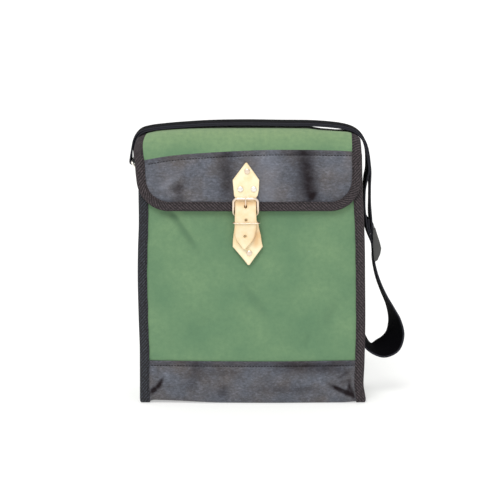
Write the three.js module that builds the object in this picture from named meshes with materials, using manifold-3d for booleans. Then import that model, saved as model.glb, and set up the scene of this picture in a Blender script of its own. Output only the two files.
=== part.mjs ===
// Canvas shoulder bag with a buckled flap. Millimetres, X right, Y away from the viewer, Z up.
import * as THREE from "three";
import { mergeVertices } from "three/addons/utils/BufferGeometryUtils.js";
import Module from "manifold-3d";

const wasm = await Module();
wasm.setup();

// Sheet thicknesses and the gap between neighbouring pieces
const CANVAS = 1.2;
const VINYL = 1.0;
const TAPE = 1.0;
const LEATHER = 2.2;
const WEBBING = 1.6;
const GAP = 0.3;

// Body
const DEPTH = 90;
const MOUTH = 306;
const FRONT_LEAN = 5;
const BACK_LEAN = 9;
const FOOT_RADIUS = 4.2;
const BASE_TOP = 53;
const EDGE_INSET = 1.9;
const SEAM_WIDTH = 13;
const GUSSET_INSET = 13.2;
const BINDING_LEG = 9.6;

// Flap
const BACK_BEND = 22;
const FRONT_BEND = 24.2;
const BACK_BEND_Z = 308;
const FRONT_BEND_Z = 306;
const FLAP_STAND = 4.6;
const FLAP_FOOT = 235.5;
const FLAP_CORNER = 36;
const FLAP_SWELL = 2.0;
const SEAM_Z = 307.6;

// Shoulder strap and its fittings
const STRAP_WIDTH = 38;
const STRAP_STEP = 2.0;
const RING_WIRE = 3.0;
const SLIDE_BAR = 3.0;

// Buckle
const FRAME_WIRE = 3.0;
const TOP_BAR = 3.8;
const PRONG_WIRE = 1.7;
const KEEPER_WIRE = 1.6;
const HEEL_Z = 231;
const TOP_BAR_Z = 252.5;
const FRAME_HALF = 14.55;
const KEEPER_Z = 222.4;
const KEEPER_X = -7.4;
const KEEPER_HALF = 15.8;
const BUCKLE_X = -8.2;

// Outer edges of the side bindings, by height
const BODY_EDGES = [
  { z: 0, left: -136.5, right: 136.9 },
  { z: 10, left: -136.5, right: 135.8 },
  { z: 22, left: -136.4, right: 134.0 },
  { z: 45, left: -136.3, right: 134.4 },
  { z: 70, left: -136.3, right: 135.0 },
  { z: 105, left: -137.2, right: 135.3 },
  { z: 155, left: -137.9, right: 134.5 },
  { z: 190, left: -137.2, right: 133.9 },
  { z: 220, left: -136.0, right: 132.7 },
  { z: 260, left: -136.0, right: 130.6 },
  { z: 306, left: -135.4, right: 129.3 },
];

// How far the front and the back swell out between the seams, by height
const BODY_SWELL = [
  { z: 0, front: 2.0, back: 1.0 },
  { z: 20, front: 4.0, back: 2.0 },
  { z: 60, front: 5.5, back: 3.5 },
  { z: 120, front: 6.5, back: 4.5 },
  { z: 170, front: 4.6, back: 4.2 },
  { z: 200, front: 3.0, back: 3.2 },
  { z: 235, front: 1.4, back: 1.8 },
  { z: 306, front: 0.3, back: 0.2 },
];

// How far each gusset bows in, by height
const GUSSET_BOW = [
  { z: 0, bow: 0 },
  { z: 150, bow: 2.0 },
  { z: 306, bow: 3.5 },
];

// Creases pressed into the front: middle, direction in degrees, length, width and depth
const FRONT_FOLDS = [
  { x: -79, z: 214, turn: -50, length: 52, width: 7, depth: 1.5 },
  { x: 6, z: 124, turn: -36, length: 56, width: 11, depth: 1.3 },
  { x: 104, z: 13.5, turn: -27, length: 32, width: 4.5, depth: 2.4 },
  { x: -113, z: 21, turn: 62, length: 22, width: 4, depth: 1.8 },
];

// Creases pressed into the front of the flap
const FLAP_FOLDS = [
  { x: 66, z: 275, turn: 90, length: 60, width: 5.5, depth: 2.0 },
  { x: -90, z: 263, turn: 60, length: 20, width: 7, depth: 1.8 },
  { x: -36, z: 284, turn: 80, length: 36, width: 11, depth: 0.9 },
];

// Outer edges of the flap binding, by the distance run from the back bend
const FLAP_EDGES = [
  { run: 0, left: -135.2, right: 129 },
  { run: 34, left: -136, right: 128 },
  { run: 69, left: -137.8, right: 128.6 },
  { run: 90, left: -141, right: 129.2 },
  { run: 107, left: -140.8, right: 129.4 },
  { run: 117, left: -139.7, right: 129.6 },
  { run: 123, left: -139.4, right: 129.7 },
  { run: 133, left: -138.8, right: 129.4 },
  { run: 145, left: -137.6, right: 129 },
  { run: 178, left: -135.6, right: 128.6 },
];

// How far the top of the flap droops, and how far the vinyl's upper seam drops, across the bag
const FLAP_DROOP = [
  { x: -141, droop: 14.5 },
  { x: -136, droop: 10.6 },
  { x: -125, droop: 5.7 },
  { x: -108, droop: 2.5 },
  { x: -60, droop: 0 },
  { x: 60, droop: 0 },
  { x: 100, droop: 1.4 },
  { x: 114, droop: 3.3 },
  { x: 122, droop: 6.2 },
  { x: 130, droop: 11.2 },
];
// How far the top sags further back, behind its front bend
const TOP_SAG = [
  { x: 66, sag: 0 },
  { x: 82, sag: 2.3 },
  { x: 94, sag: 2.8 },
  { x: 103, sag: 2.9 },
  { x: 113, sag: 1.5 },
  { x: 122, sag: 1.1 },
  { x: 130, sag: 2 },
];
const SEAM_DROP = [
  { x: -136, drop: 12.5 },
  { x: -100, drop: 6.1 },
  { x: -57, drop: 2.5 },
  { x: -7, drop: 0 },
  { x: 30, drop: -1.0 },
  { x: 126, drop: -0.5 },
];

// Closure strap: height, middle, half width and the stand of its back from the front plane
const STRAP_ROWS = [
  { z: 294, x: -7.4, half: 0.8, stand: 8.2 },
  { z: 289, x: -7.5, half: 4.5, stand: 8.2 },
  { z: 281, x: -7.6, half: 10.4, stand: 8.2 },
  { z: 273.4, x: -7.8, half: 15.8, stand: 8.25 },
  { z: 262, x: -7.55, half: 15.05, stand: 8.5 },
  { z: 255.5, x: -7.9, half: 14.1, stand: 9.1 },
  { z: 252.5, x: -8.1, half: 12.6, stand: 9.6 },
  { z: 249, x: -8.2, half: 12.5, stand: 10.4 },
  { z: 246, x: -8.2, half: 12.5, stand: 11 },
  { z: 243, x: -8.2, half: 12.5, stand: 11.5 },
  { z: 239, x: -8.2, half: 12.5, stand: 12 },
  { z: 235, x: -8.2, half: 12.5, stand: 12.5 },
  { z: 229, x: -8.2, half: 12.9, stand: 12.7 },
  { z: 222, x: -8.2, half: 13, stand: 12 },
  { z: 215, x: -8.5, half: 12.8, stand: 11.2 },
  { z: 209, x: -8.8, half: 12.3, stand: 10.3 },
  { z: 204.5, x: -9, half: 11.1, stand: 9.7 },
  { z: 200.5, x: -9.3, half: 8.9, stand: 9.5 },
  { z: 196.6, x: -9.5, half: 6.1, stand: 9.7 },
  { z: 193, x: -9.8, half: 3.1, stand: 10.1 },
  { z: 190.4, x: -9.9, half: 0.8, stand: 10.5 },
];
const STRAP_HOLES = [
  { z: 242.4, x: -8.2, half: 1.9, reach: 3.5 },
  { z: 226.2, x: -7.7, half: 1.7, reach: 1.7 },
  { z: 206.5, x: -8.9, half: 1.7, reach: 1.7 },
];

// Buckle tab: its front leaf from the tip up, then its back leaf down, as middle lines
const TAB_FRONT = [
  { z: 171.3, x: -4.6, half: 1, stand: 8.4 },
  { z: 178, x: -4.8, half: 5.9, stand: 8.4 },
  { z: 186, x: -5.25, half: 12.2, stand: 7.9 },
  { z: 193.2, x: -5.7, half: 17.9, stand: 7.4 },
  { z: 200, x: -6.3, half: 17.1, stand: 7.5 },
  { z: 207, x: -6.4, half: 16.3, stand: 8.2 },
  { z: 215, x: -6.8, half: 14.8, stand: 9.4 },
  { z: 222, x: -7.15, half: 13.85, stand: 10.3 },
];
const TAB_BACK = [
  { z: 224, x: -7.9, half: 10.6, stand: 4.9 },
  { z: 210, x: -7, half: 12, stand: 4.6 },
  { z: 196, x: -5.8, half: 12, stand: 4.8 },
  { z: 186, x: -5.2, half: 10.4, stand: 5.3 },
  { z: 179, x: -4.8, half: 4.6, stand: 5.8 },
];
const HEEL_STAND = 8.2;
const FRAME_ROWS = [
  { z: 231, stand: 8.2 },
  { z: 234.8, stand: 10.2 },
  { z: 238.5, stand: 11.9 },
  { z: 252.5, stand: 14.0 },
];
const PRONG_ROWS = [
  { z: 232.4, stand: 10.3 },
  { z: 237, stand: 10.5 },
  { z: 239.4, stand: 10.85 },
  { z: 241.3, stand: 11.7 },
  { z: 244.3, stand: 14.2 },
  { z: 248, stand: 15.7 },
  { z: 252.5, stand: 17.1 },
  { z: 255, stand: 16.8 },
];
const RIVETS = [
  { name: "rivet_upper", x: -6.4, z: 284.0, on: "strap" },
  { name: "rivet_left", x: -14.4, z: 262.6, on: "strap" },
  { name: "rivet_right", x: 1.4, z: 262.6, on: "strap" },
  { name: "rivet_lower", x: -3.9, z: 185.8, on: "tab" },
];
const RIVET_RADIUS = 3.5;
const RIVET_POST = 1.3;

// Route of the shoulder strap. lean_x and lean_z carry the near edge away from the middle line.
const HANGING_LOOP = [
  { x: 126.5, z: 240, lean_x: 0, lean_z: 0 },
  { x: 128.5, z: 200, lean_x: 0, lean_z: 0 },
  { x: 130.5, z: 160, lean_x: 0, lean_z: 0 },
  { x: 131.8, z: 128, lean_x: 0, lean_z: 0 },
  { x: 132.5, z: 104, lean_x: -0.4, lean_z: 0 },
  { x: 133.7, z: 86, lean_x: -1, lean_z: -0.4 },
  { x: 136.9, z: 69.8, lean_x: -2, lean_z: -1.6 },
  { x: 145.6, z: 59.2, lean_x: -1, lean_z: -1.8 },
  { x: 158.6, z: 56.7, lean_x: 3, lean_z: -5.6 },
  { x: 170.6, z: 62.9, lean_x: 7.6, lean_z: -4.9 },
  { x: 176.2, z: 76.5, lean_x: 8.6, lean_z: -0.6 },
  { x: 174.8, z: 94, lean_x: 6, lean_z: 1.8 },
  { x: 168.6, z: 111, lean_x: 3.2, lean_z: 1.4 },
  { x: 160.9, z: 126.5, lean_x: 2.1, lean_z: 0.8 },
  { x: 154, z: 143, lean_x: 1.4, lean_z: 0.4 },
  { x: 149.2, z: 160, lean_x: 0.6, lean_z: 0 },
];
const THROUGH_SLIDE = [
  { x: 147.3, z: 174, lean_x: 0, lean_z: 0 },
  { x: 149.8, z: 181, lean_x: 0, lean_z: 0 },
  { x: 152.6, z: 188.5, lean_x: 0, lean_z: 0 },
  { x: 149.3, z: 198, lean_x: 0, lean_z: 0 },
  { x: 145, z: 206.5, lean_x: 0.3, lean_z: 0 },
  { x: 143.7, z: 215, lean_x: 0.5, lean_z: 0 },
];
const OVER_TOP = [
  { x: 142.7, z: 226, lean_x: 0.5, lean_z: 0 },
  { x: 142.05, z: 242, lean_x: -0.2, lean_z: 0 },
  { x: 141.8, z: 262, lean_x: -0.2, lean_z: 0 },
  { x: 141, z: 279, lean_x: 1, lean_z: 0 },
  { x: 140.4, z: 292, lean_x: 0.3, lean_z: -0.2 },
  { x: 139.2, z: 303, lean_x: -0.1, lean_z: -0.4 },
  { x: 136.8, z: 311.8, lean_x: 0, lean_z: -0.3 },
  { x: 133.4, z: 318.6, lean_x: 0, lean_z: 0 },
  { x: 128.9, z: 324.2, lean_x: 0, lean_z: 0 },
  { x: 122, z: 329, lean_x: 0, lean_z: 0 },
  { x: 113, z: 332.2, lean_x: 0, lean_z: 0 },
  { x: 99, z: 334.6, lean_x: 0, lean_z: 0 },
  { x: 73, z: 336.6, lean_x: 0, lean_z: 0 },
  { x: 33, z: 337.1, lean_x: 0, lean_z: 0 },
  { x: -7, z: 337.6, lean_x: 0, lean_z: 0 },
  { x: -50, z: 336.9, lean_x: 0, lean_z: 0 },
  { x: -84, z: 334.9, lean_x: 0, lean_z: 0 },
  { x: -108, z: 332.8, lean_x: 0, lean_z: 0 },
  { x: -124, z: 330.6, lean_x: 0, lean_z: 0 },
  { x: -135, z: 326.9, lean_x: 0, lean_z: 0 },
  { x: -142, z: 318.6, lean_x: 0.5, lean_z: 0.5 },
  { x: -145.4, z: 306, lean_x: 0.8, lean_z: 0 },
];
const SEWN_END = [
  { x: 137.1, z: 270, lean_x: 0.8, lean_z: 0 },
  { x: 135.65, z: 259, lean_x: 0.1, lean_z: 0 },
  { x: 135.4, z: 247, lean_x: -0.2, lean_z: 0 },
  { x: 135.6, z: 234, lean_x: -0.1, lean_z: 0 },
  { x: 136.8, z: 221, lean_x: 0.5, lean_z: 0 },
  { x: 138.2, z: 210, lean_x: 0.8, lean_z: 0 },
  { x: 141.6, z: 200, lean_x: 1, lean_z: 0 },
];
const SEWN_RETURN = [
  { x: 146.8, z: 197.8, lean_x: 0.4, lean_z: 0 },
  { x: 143, z: 203.6, lean_x: 0.8, lean_z: 0 },
  { x: 140.2, z: 211.4, lean_x: 0.8, lean_z: 0 },
  { x: 139.2, z: 221.6, lean_x: 0.8, lean_z: 0 },
];
const RING_TOP = { x: -144.4, z: 291 };
const RING_FOOT = { x: -130.2, z: 271 };
const RING_HALF = 21.6;
const SLIDE_BARS = [
  { x: 147.8, z: 207.2 },
  { x: 148.1, z: 188.5 },
  { x: 149.8, z: 173.4 },
];
const SLIDE_PROFILE = [
  { x: 145.8, z: 211.4 },
  { x: 145.1, z: 206.5 },
  { x: 145.4, z: 189 },
  { x: 146.9, z: 172 },
  { x: 148.8, z: 170 },
  { x: 151.2, z: 171.8 },
  { x: 154.4, z: 179.2 },
  { x: 155.6, z: 186.4 },
  { x: 153.9, z: 193.4 },
  { x: 149.9, z: 205.4 },
  { x: 148.1, z: 211.2 },
];

// Helpers
const clamp = THREE.MathUtils.clamp;
const lerp = THREE.MathUtils.lerp;
const smooth = THREE.MathUtils.smoothstep;

function along(rows, key, column, at) {
  const last = rows.length - 1;
  const step = Math.sign(rows[last][key] - rows[0][key]);
  if ((at - rows[0][key]) * step <= 0) {
    return rows[0][column];
  }
  if ((at - rows[last][key]) * step >= 0) {
    return rows[last][column];
  }
  let n = 0;
  while ((at - rows[n + 1][key]) * step > 0) {
    n += 1;
  }
  const slope = (a, b) => (rows[b][column] - rows[a][column]) / (rows[b][key] - rows[a][key]);
  const span = rows[n + 1][key] - rows[n][key];
  const t = (at - rows[n][key]) / span;
  const start = slope(Math.max(n - 1, 0), n + 1) * span;
  const end = slope(n, Math.min(n + 2, last)) * span;
  const u = 1 - t;
  return (
    rows[n][column] * (1 + 2 * t) * u * u +
    start * t * u * u +
    rows[n + 1][column] * t * t * (3 - 2 * t) -
    end * t * t * u
  );
}

function pressed(folds, x, z) {
  let depth = 0;
  for (const fold of folds) {
    const angle = THREE.MathUtils.degToRad(fold.turn);
    const run = (x - fold.x) * Math.cos(angle) + (z - fold.z) * Math.sin(angle);
    const off = (z - fold.z) * Math.cos(angle) - (x - fold.x) * Math.sin(angle);
    const reach = clamp(1 - Math.abs(run) / (0.5 * fold.length), 0, 1);
    depth += fold.depth * smooth(reach, 0, 0.7) * Math.exp(-((off / fold.width) ** 2));
  }
  return depth;
}

function sealed(geometry) {
  for (const name of Object.keys(geometry.attributes)) {
    if (name !== "position") {
      geometry.deleteAttribute(name);
    }
  }
  geometry.clearGroups();
  const merged = mergeVertices(geometry, 1e-4);
  const spot = merged.attributes.position;
  const index = merged.index;
  const [a, b, c] = [new THREE.Vector3(), new THREE.Vector3(), new THREE.Vector3()];
  let volume = 0;
  for (let n = 0; n < index.count; n += 3) {
    a.fromBufferAttribute(spot, index.getX(n));
    b.fromBufferAttribute(spot, index.getX(n + 1));
    c.fromBufferAttribute(spot, index.getX(n + 2));
    volume += a.dot(b.cross(c));
  }
  if (volume < 0) {
    for (let n = 0; n < index.count; n += 3) {
      const first = index.getX(n);
      index.setX(n, index.getX(n + 2));
      index.setX(n + 2, first);
    }
  }
  return merged;
}

function bentSheet(columns, rows, place) {
  const box = new THREE.BoxGeometry(1, 1, 1, columns, rows, 1);
  const spot = box.attributes.position;
  for (let n = 0; n < spot.count; n += 1) {
    const column = Math.round((spot.getX(n) + 0.5) * columns);
    const row = Math.round((spot.getY(n) + 0.5) * rows);
    const point = place(column, row, spot.getZ(n) > 0 ? 1 : 0);
    spot.setXYZ(n, point.x, point.y, point.z);
  }
  // The back is split along the same diagonals as the face, so that stacked sheets nest
  const index = box.index;
  for (let n = index.count - 6 * columns * rows; n < index.count; n += 6) {
    index.setX(n + 2, index.getX(n + 4));
    index.setX(n + 3, index.getX(n));
  }
  return sealed(box);
}

function wireLoop(points, radius, facing, sides) {
  const steps = points.length;
  const torus = new THREE.TorusGeometry(1, 0.5, sides, steps);
  const spot = torus.attributes.position;
  for (let n = 0; n < spot.count; n += 1) {
    const here = n % (steps + 1);
    const turn = (2 * Math.PI * Math.floor(n / (steps + 1))) / sides;
    const tangent = points[(here + 1) % steps].clone().sub(points[(here + steps - 1) % steps]).normalize();
    const out = facing.clone().addScaledVector(tangent, -facing.dot(tangent)).normalize();
    const side = tangent.clone().cross(out);
    const point = points[here % steps].clone();
    point.addScaledVector(out, radius * Math.cos(turn)).addScaledVector(side, radius * Math.sin(turn));
    spot.setXYZ(n, point.x, point.y, point.z);
  }
  return sealed(torus);
}

function wireRun(points, radius, facing, sides) {
  const rod = new THREE.CylinderGeometry(1, 1, 1, sides, points.length - 1);
  const spot = rod.attributes.position;
  for (let n = 0; n < spot.count; n += 1) {
    const here = Math.round((spot.getY(n) + 0.5) * (points.length - 1));
    const before = points[Math.max(here - 1, 0)];
    const tangent = points[Math.min(here + 1, points.length - 1)].clone().sub(before).normalize();
    const out = facing.clone().addScaledVector(tangent, -facing.dot(tangent)).normalize();
    const side = tangent.clone().cross(out);
    const point = points[here].clone().addScaledVector(out, radius * spot.getX(n));
    point.addScaledVector(side, radius * spot.getZ(n));
    spot.setXYZ(n, point.x, point.y, point.z);
  }
  return sealed(rod);
}

function roundedLoop(half, low, high, radius, steps) {
  const points = [];
  const middles = [
    [half - radius, high - radius],
    [-half + radius, high - radius],
    [-half + radius, low + radius],
    [half - radius, low + radius],
  ];
  middles.forEach(([across, up], corner) => {
    for (let n = 0; n <= steps; n += 1) {
      const angle = (corner + n / steps) * 0.5 * Math.PI;
      points.push({ across: across + radius * Math.cos(angle), up: up + radius * Math.sin(angle) });
    }
  });
  return points;
}

function toSolid(geometry) {
  const mesh = sealed(geometry);
  return new wasm.Manifold(
    new wasm.Mesh({
      numProp: 3,
      vertProperties: new Float32Array(mesh.attributes.position.array),
      triVerts: new Uint32Array(mesh.index.array),
    }),
  );
}

function fromSolid(solid) {
  const mesh = solid.getMesh();
  const geometry = new THREE.BufferGeometry();
  geometry.setAttribute("position", new THREE.BufferAttribute(new Float32Array(mesh.vertProperties), 3));
  geometry.setIndex(new THREE.BufferAttribute(new Uint32Array(mesh.triVerts), 1));
  return geometry;
}

function cut(geometry, tools) {
  let solid = toSolid(geometry);
  for (const tool of tools) {
    solid = solid.subtract(toSolid(tool));
  }
  return fromSolid(solid);
}

function joined(parts) {
  return fromSolid(parts.map(toSolid).reduce((whole, part) => whole.add(part)));
}

// Body surfaces: y of the canvas face at the front and the back
const frontPlane = (z) => -DEPTH / 2 + (FRONT_LEAN * z) / MOUTH;
const bodyLeft = (z) => along(BODY_EDGES, "z", "left", z);
const bodyRight = (z) => along(BODY_EDGES, "z", "right", z);

function acrossBody(x, z) {
  const left = bodyLeft(z) + SEAM_WIDTH;
  const right = bodyRight(z) - SEAM_WIDTH;
  return clamp((2 * x - left - right) / (right - left), -1, 1);
}

function frontY(x, z, folded = true) {
  const t = acrossBody(x, z);
  const swell = along(BODY_SWELL, "z", "front", z) * (1 - t * t);
  const fold = folded ? pressed(FRONT_FOLDS, x, z) * (1 - t ** 16) : 0;
  return frontPlane(z) - swell + fold;
}

function backY(x, z) {
  const t = acrossBody(x, z);
  return DEPTH / 2 - (BACK_LEAN * z) / MOUTH + along(BODY_SWELL, "z", "back", z) * (1 - t * t);
}

function footLift(x) {
  const inset = Math.min(x - bodyLeft(0), bodyRight(0) - x);
  return x < 0 ? 2.0 * (1 - smooth(inset, 8, 90)) : 1.4 * (1 - smooth(inset, 8, 30));
}

// Point on the body's outer cloth face. leg: 0-1 front, 1-2 corner, 2-3 bottom, 3-4 corner, 4-5 back
function shellPoint(x, leg, folded = true) {
  const floor = footLift(x) + VINYL + GAP;
  const heel = floor + FOOT_RADIUS;
  if (leg <= 1) {
    const z = lerp(MOUTH, heel, leg);
    return new THREE.Vector3(x, frontY(x, z, folded), z);
  }
  if (leg >= 4) {
    const z = lerp(heel, MOUTH, leg - 4);
    return new THREE.Vector3(x, backY(x, z), z);
  }
  const front = frontY(x, heel, folded) + FOOT_RADIUS;
  const back = backY(x, heel) - FOOT_RADIUS;
  if (leg < 2) {
    const angle = (leg - 1) * 0.5 * Math.PI;
    return new THREE.Vector3(x, front - FOOT_RADIUS * Math.cos(angle), heel - FOOT_RADIUS * Math.sin(angle));
  }
  if (leg <= 3) {
    return new THREE.Vector3(x, lerp(front, back, leg - 2), floor);
  }
  const angle = (4 - leg) * 0.5 * Math.PI;
  return new THREE.Vector3(x, back + FOOT_RADIUS * Math.cos(angle), heel - FOOT_RADIUS * Math.sin(angle));
}

function legAt(x, z, back) {
  const heel = footLift(x) + VINYL + GAP + FOOT_RADIUS;
  const leg = (MOUTH - z) / (MOUTH - heel);
  return back ? 5 - leg : leg;
}

function onSurface(surface, a, b, stepA, stepB, out) {
  const middle = surface(a, b);
  const alongA = surface(a + stepA, b, false).sub(surface(a - stepA, b, false));
  const alongB = surface(a, b + stepB, false).sub(surface(a, b - stepB, false));
  return middle.addScaledVector(alongB.cross(alongA).normalize(), out);
}

const onShell = (x, leg, out) => onSurface(shellPoint, x, leg, 0.5, 0.004, out);
const rowLeg = (row, x) => (row.z === undefined ? row.leg : legAt(x, row.z, row.back));
const rowHeight = (row) => (row.z === undefined ? 4 : row.z);

// Flap surface: distance run from the back bend, over the top and down the front
const BACK_TOP_Y = DEPTH / 2 - (BACK_LEAN * BACK_BEND_Z) / MOUTH;
const FRONT_TOP_Y = frontPlane(FRONT_BEND_Z) - FLAP_STAND;
const RUN_BACK = 0.5 * Math.PI * BACK_BEND;
const RUN_TOP = RUN_BACK + (BACK_TOP_Y - BACK_BEND) - (FRONT_TOP_Y + FRONT_BEND);
const RUN_FRONT = RUN_TOP + 0.5 * Math.PI * FRONT_BEND;
const RUN_END = RUN_FRONT + FRONT_BEND_Z - FLAP_FOOT - EDGE_INSET;
const RUN_CORNER = RUN_END - FLAP_CORNER + EDGE_INSET;

function flapProfile(run) {
  if (run < 0) {
    const z = BACK_BEND_Z + run;
    return { y: DEPTH / 2 - (BACK_LEAN * z) / MOUTH, z };
  }
  if (run < RUN_BACK) {
    const angle = run / BACK_BEND;
    return {
      y: BACK_TOP_Y - BACK_BEND + BACK_BEND * Math.cos(angle),
      z: BACK_BEND_Z + BACK_BEND * Math.sin(angle),
    };
  }
  if (run < RUN_TOP) {
    const t = (run - RUN_BACK) / (RUN_TOP - RUN_BACK);
    return {
      y: lerp(BACK_TOP_Y - BACK_BEND, FRONT_TOP_Y + FRONT_BEND, t),
      z: lerp(BACK_BEND_Z + BACK_BEND, FRONT_BEND_Z + FRONT_BEND, t),
    };
  }
  if (run < RUN_FRONT) {
    const angle = (run - RUN_TOP) / FRONT_BEND;
    return {
      y: FRONT_TOP_Y + FRONT_BEND - FRONT_BEND * Math.sin(angle),
      z: FRONT_BEND_Z + FRONT_BEND * Math.cos(angle),
    };
  }
  const z = FRONT_BEND_Z - (run - RUN_FRONT);
  return { y: frontPlane(z) - FLAP_STAND, z };
}

function flapPoint(x, run, folded = true) {
  const { y, z } = flapProfile(run);
  const t = acrossBody(x, Math.min(z, MOUTH));
  const front = smooth(run, RUN_FRONT - 8, RUN_FRONT + 18);
  const swell = FLAP_SWELL * (1 - t * t) * front;
  const dent = folded ? pressed(FLAP_FOLDS, x, z) * smooth(run, RUN_FRONT - 20, RUN_FRONT) : 0;
  const sag = along(TOP_SAG, "x", "sag", x) * smooth(RUN_TOP + 12 - run, 0, 22);
  const low = run < RUN_TOP ? 298 : 295;
  const droop = (along(FLAP_DROOP, "x", "droop", x) + sag) * smooth(z, low, 328);
  return new THREE.Vector3(x, y - swell + dent, z - droop);
}

const onFlap = (x, run, out) => onSurface(flapPoint, x, run, 0.5, 0.5, out);

function flapSide(run, side) {
  const edge = along(FLAP_EDGES, "run", side, run);
  const radius = FLAP_CORNER - EDGE_INSET;
  const past = clamp(run - RUN_CORNER, 0, radius);
  const inset = EDGE_INSET + radius - Math.sqrt(radius * radius - past * past);
  return side === "left" ? edge + inset : edge - inset;
}

const seamRun = (x) => RUN_FRONT + FRONT_BEND_Z - SEAM_Z + along(SEAM_DROP, "x", "drop", x);

// Grid lines shared by the layers
const COLUMNS = [0, 0.0414, 0.08, 0.13, 0.175, 0.22, 0.32, 0.43, 0.54, 0.65, 0.73, 0.765, 0.8, 0.87, 0.92, 0.9586, 1];
const BACK_COLUMNS = [0, 0.1, 0.2, 0.35, 0.5, 0.65, 0.8, 0.9, 1];
const FOOT_ROWS = [53, 42, 31, 22, 14].map((z) => ({ z, back: false }));
const CORNER_ANGLES = [0, 22.5, 45, 67.5, 90];

const FRONT_ROWS = [
  ...[306, 280, 255, 234, 220, 206, 190, 165, 142, 124, 106, 80].map((z) => ({ z, back: false })),
  ...FOOT_ROWS,
  { leg: 1 },
];
const BASE_ROWS = [
  ...FOOT_ROWS,
  ...[1, 1.5, 2, 2.5, 3, 3.5, 4].map((leg) => ({ leg })),
  ...[22, 53].map((z) => ({ z, back: true })),
];
const BACK_ROWS = [{ leg: 4 }, ...[22, 53, 100, 160, 220, 275, 304].map((z) => ({ z, back: true }))];
const CORNER_RUNS = CORNER_ANGLES.map(
  (angle) => RUN_CORNER + (FLAP_CORNER - EDGE_INSET) * Math.sin(THREE.MathUtils.degToRad(angle)),
);
const SEAM_ROWS = [
  { run: RUN_FRONT + FRONT_BEND_Z - SEAM_Z, follow: 1 },
  { run: RUN_FRONT + 10, follow: 0.67 },
  { run: RUN_FRONT + 21, follow: 0.33 },
  ...CORNER_RUNS.map((run) => ({ run, follow: 0 })),
];
const FLAP_ROWS = [
  { run: 0, follow: 0 },
  ...[0.33, 0.67, 1].map((t) => ({ run: t * RUN_BACK, follow: 0 })),
  ...[0.5, 1].map((t) => ({ run: lerp(RUN_BACK, RUN_TOP, t), follow: 0 })),
  ...[0.22, 0.44, 0.66, 0.88].map((t) => ({ run: lerp(RUN_TOP, RUN_FRONT, t), follow: 0 })),
  ...SEAM_ROWS,
];

function bodySheet(columns, rows, inner, outer) {
  return bentSheet(columns.length - 1, rows.length - 1, (i, j, face) => {
    const row = rows[j];
    const z = rowHeight(row);
    const x = lerp(bodyLeft(z) + EDGE_INSET, bodyRight(z) - EDGE_INSET, columns[i]);
    return onShell(x, rowLeg(row, x), face ? outer : inner);
  });
}

function backAndFlap() {
  const rows = BACK_ROWS.length + FLAP_ROWS.length;
  return bentSheet(COLUMNS.length - 1, rows - 1, (i, j, face) => {
    const out = face ? 0 : -CANVAS;
    if (j < BACK_ROWS.length) {
      const z = rowHeight(BACK_ROWS[j]);
      const x = lerp(bodyLeft(z) + EDGE_INSET, bodyRight(z) - EDGE_INSET, COLUMNS[i]);
      return onShell(x, rowLeg(BACK_ROWS[j], x), out);
    }
    return onFlapRow(FLAP_ROWS[j - BACK_ROWS.length], COLUMNS[i], out);
  });
}

function onFlapRow(row, share, out) {
  const across = (run) => lerp(flapSide(run, "left"), flapSide(run, "right"), share);
  const run = row.run + row.follow * along(SEAM_DROP, "x", "drop", across(row.run));
  return onFlap(across(run), run, out);
}

function flapVinyl() {
  return bentSheet(COLUMNS.length - 1, SEAM_ROWS.length - 1, (i, j, face) =>
    onFlapRow(SEAM_ROWS[j], COLUMNS[i], face ? GAP + VINYL : GAP),
  );
}

// Folded tape: a short section carried along an edge. reach runs in from the cloth's edge.
function tapeSection(over, under) {
  const middle = 0.5 * (over + under);
  return [
    { reach: BINDING_LEG, skin: over + TAPE, lining: over, depth: BINDING_LEG },
    { reach: 0.1, skin: over + TAPE, lining: over, depth: 0.3 },
    { reach: -1.2, skin: over + 0.25, lining: over - 0.35, depth: -0.5 },
    { reach: -1.9, skin: middle, lining: middle, depth: -0.75 },
    { reach: -1.2, skin: under - 0.25, lining: under + 0.35, depth: -0.5 },
    { reach: 0.1, skin: under - TAPE, lining: under, depth: 0.3 },
    { reach: BINDING_LEG, skin: under - TAPE, lining: under, depth: BINDING_LEG },
  ];
}

function foldedTape(stations, at) {
  return bentSheet(stations.length - 1, 6, (i, j, face) => {
    const station = stations[i];
    const spot = tapeSection(station.over, station.under)[j];
    return face
      ? at(station, spot.reach, spot.skin)
      : at(station, spot.depth, spot.lining);
  });
}

function sideBinding(side) {
  const heights = [303, 250, 200, 150, 100, 64, 58.5, 54, 38, 22, 12];
  const rows = [
    ...heights.map((z) => ({ z, back: false })),
    ...[1, 1.5, 2, 2.5, 3, 3.5, 4].map((leg) => ({ leg })),
    ...heights.filter((z) => z > 20).reverse().map((z) => ({ z, back: true })),
  ];
  const sign = side === "left" ? 1 : -1;
  const stations = rows.map((row) => {
    const z = rowHeight(row);
    const edge = side === "left" ? bodyLeft(z) + EDGE_INSET : bodyRight(z) - EDGE_INSET;
    const turn = row.leg === undefined ? 0 : clamp(1.5 - Math.abs(row.leg - 2.5), 0, 1);
    const vinyl = 1 - smooth(z, 54, 58.5);
    return {
      edge,
      leg: rowLeg(row, edge),
      over: GAP + vinyl * (VINYL + GAP),
      under: -(2 * CANVAS + 2 * GAP) + turn * (CANVAS + GAP - 0.1),
    };
  });
  return foldedTape(stations, (station, reach, out) => onShell(station.edge + sign * reach, station.leg, out));
}

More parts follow.
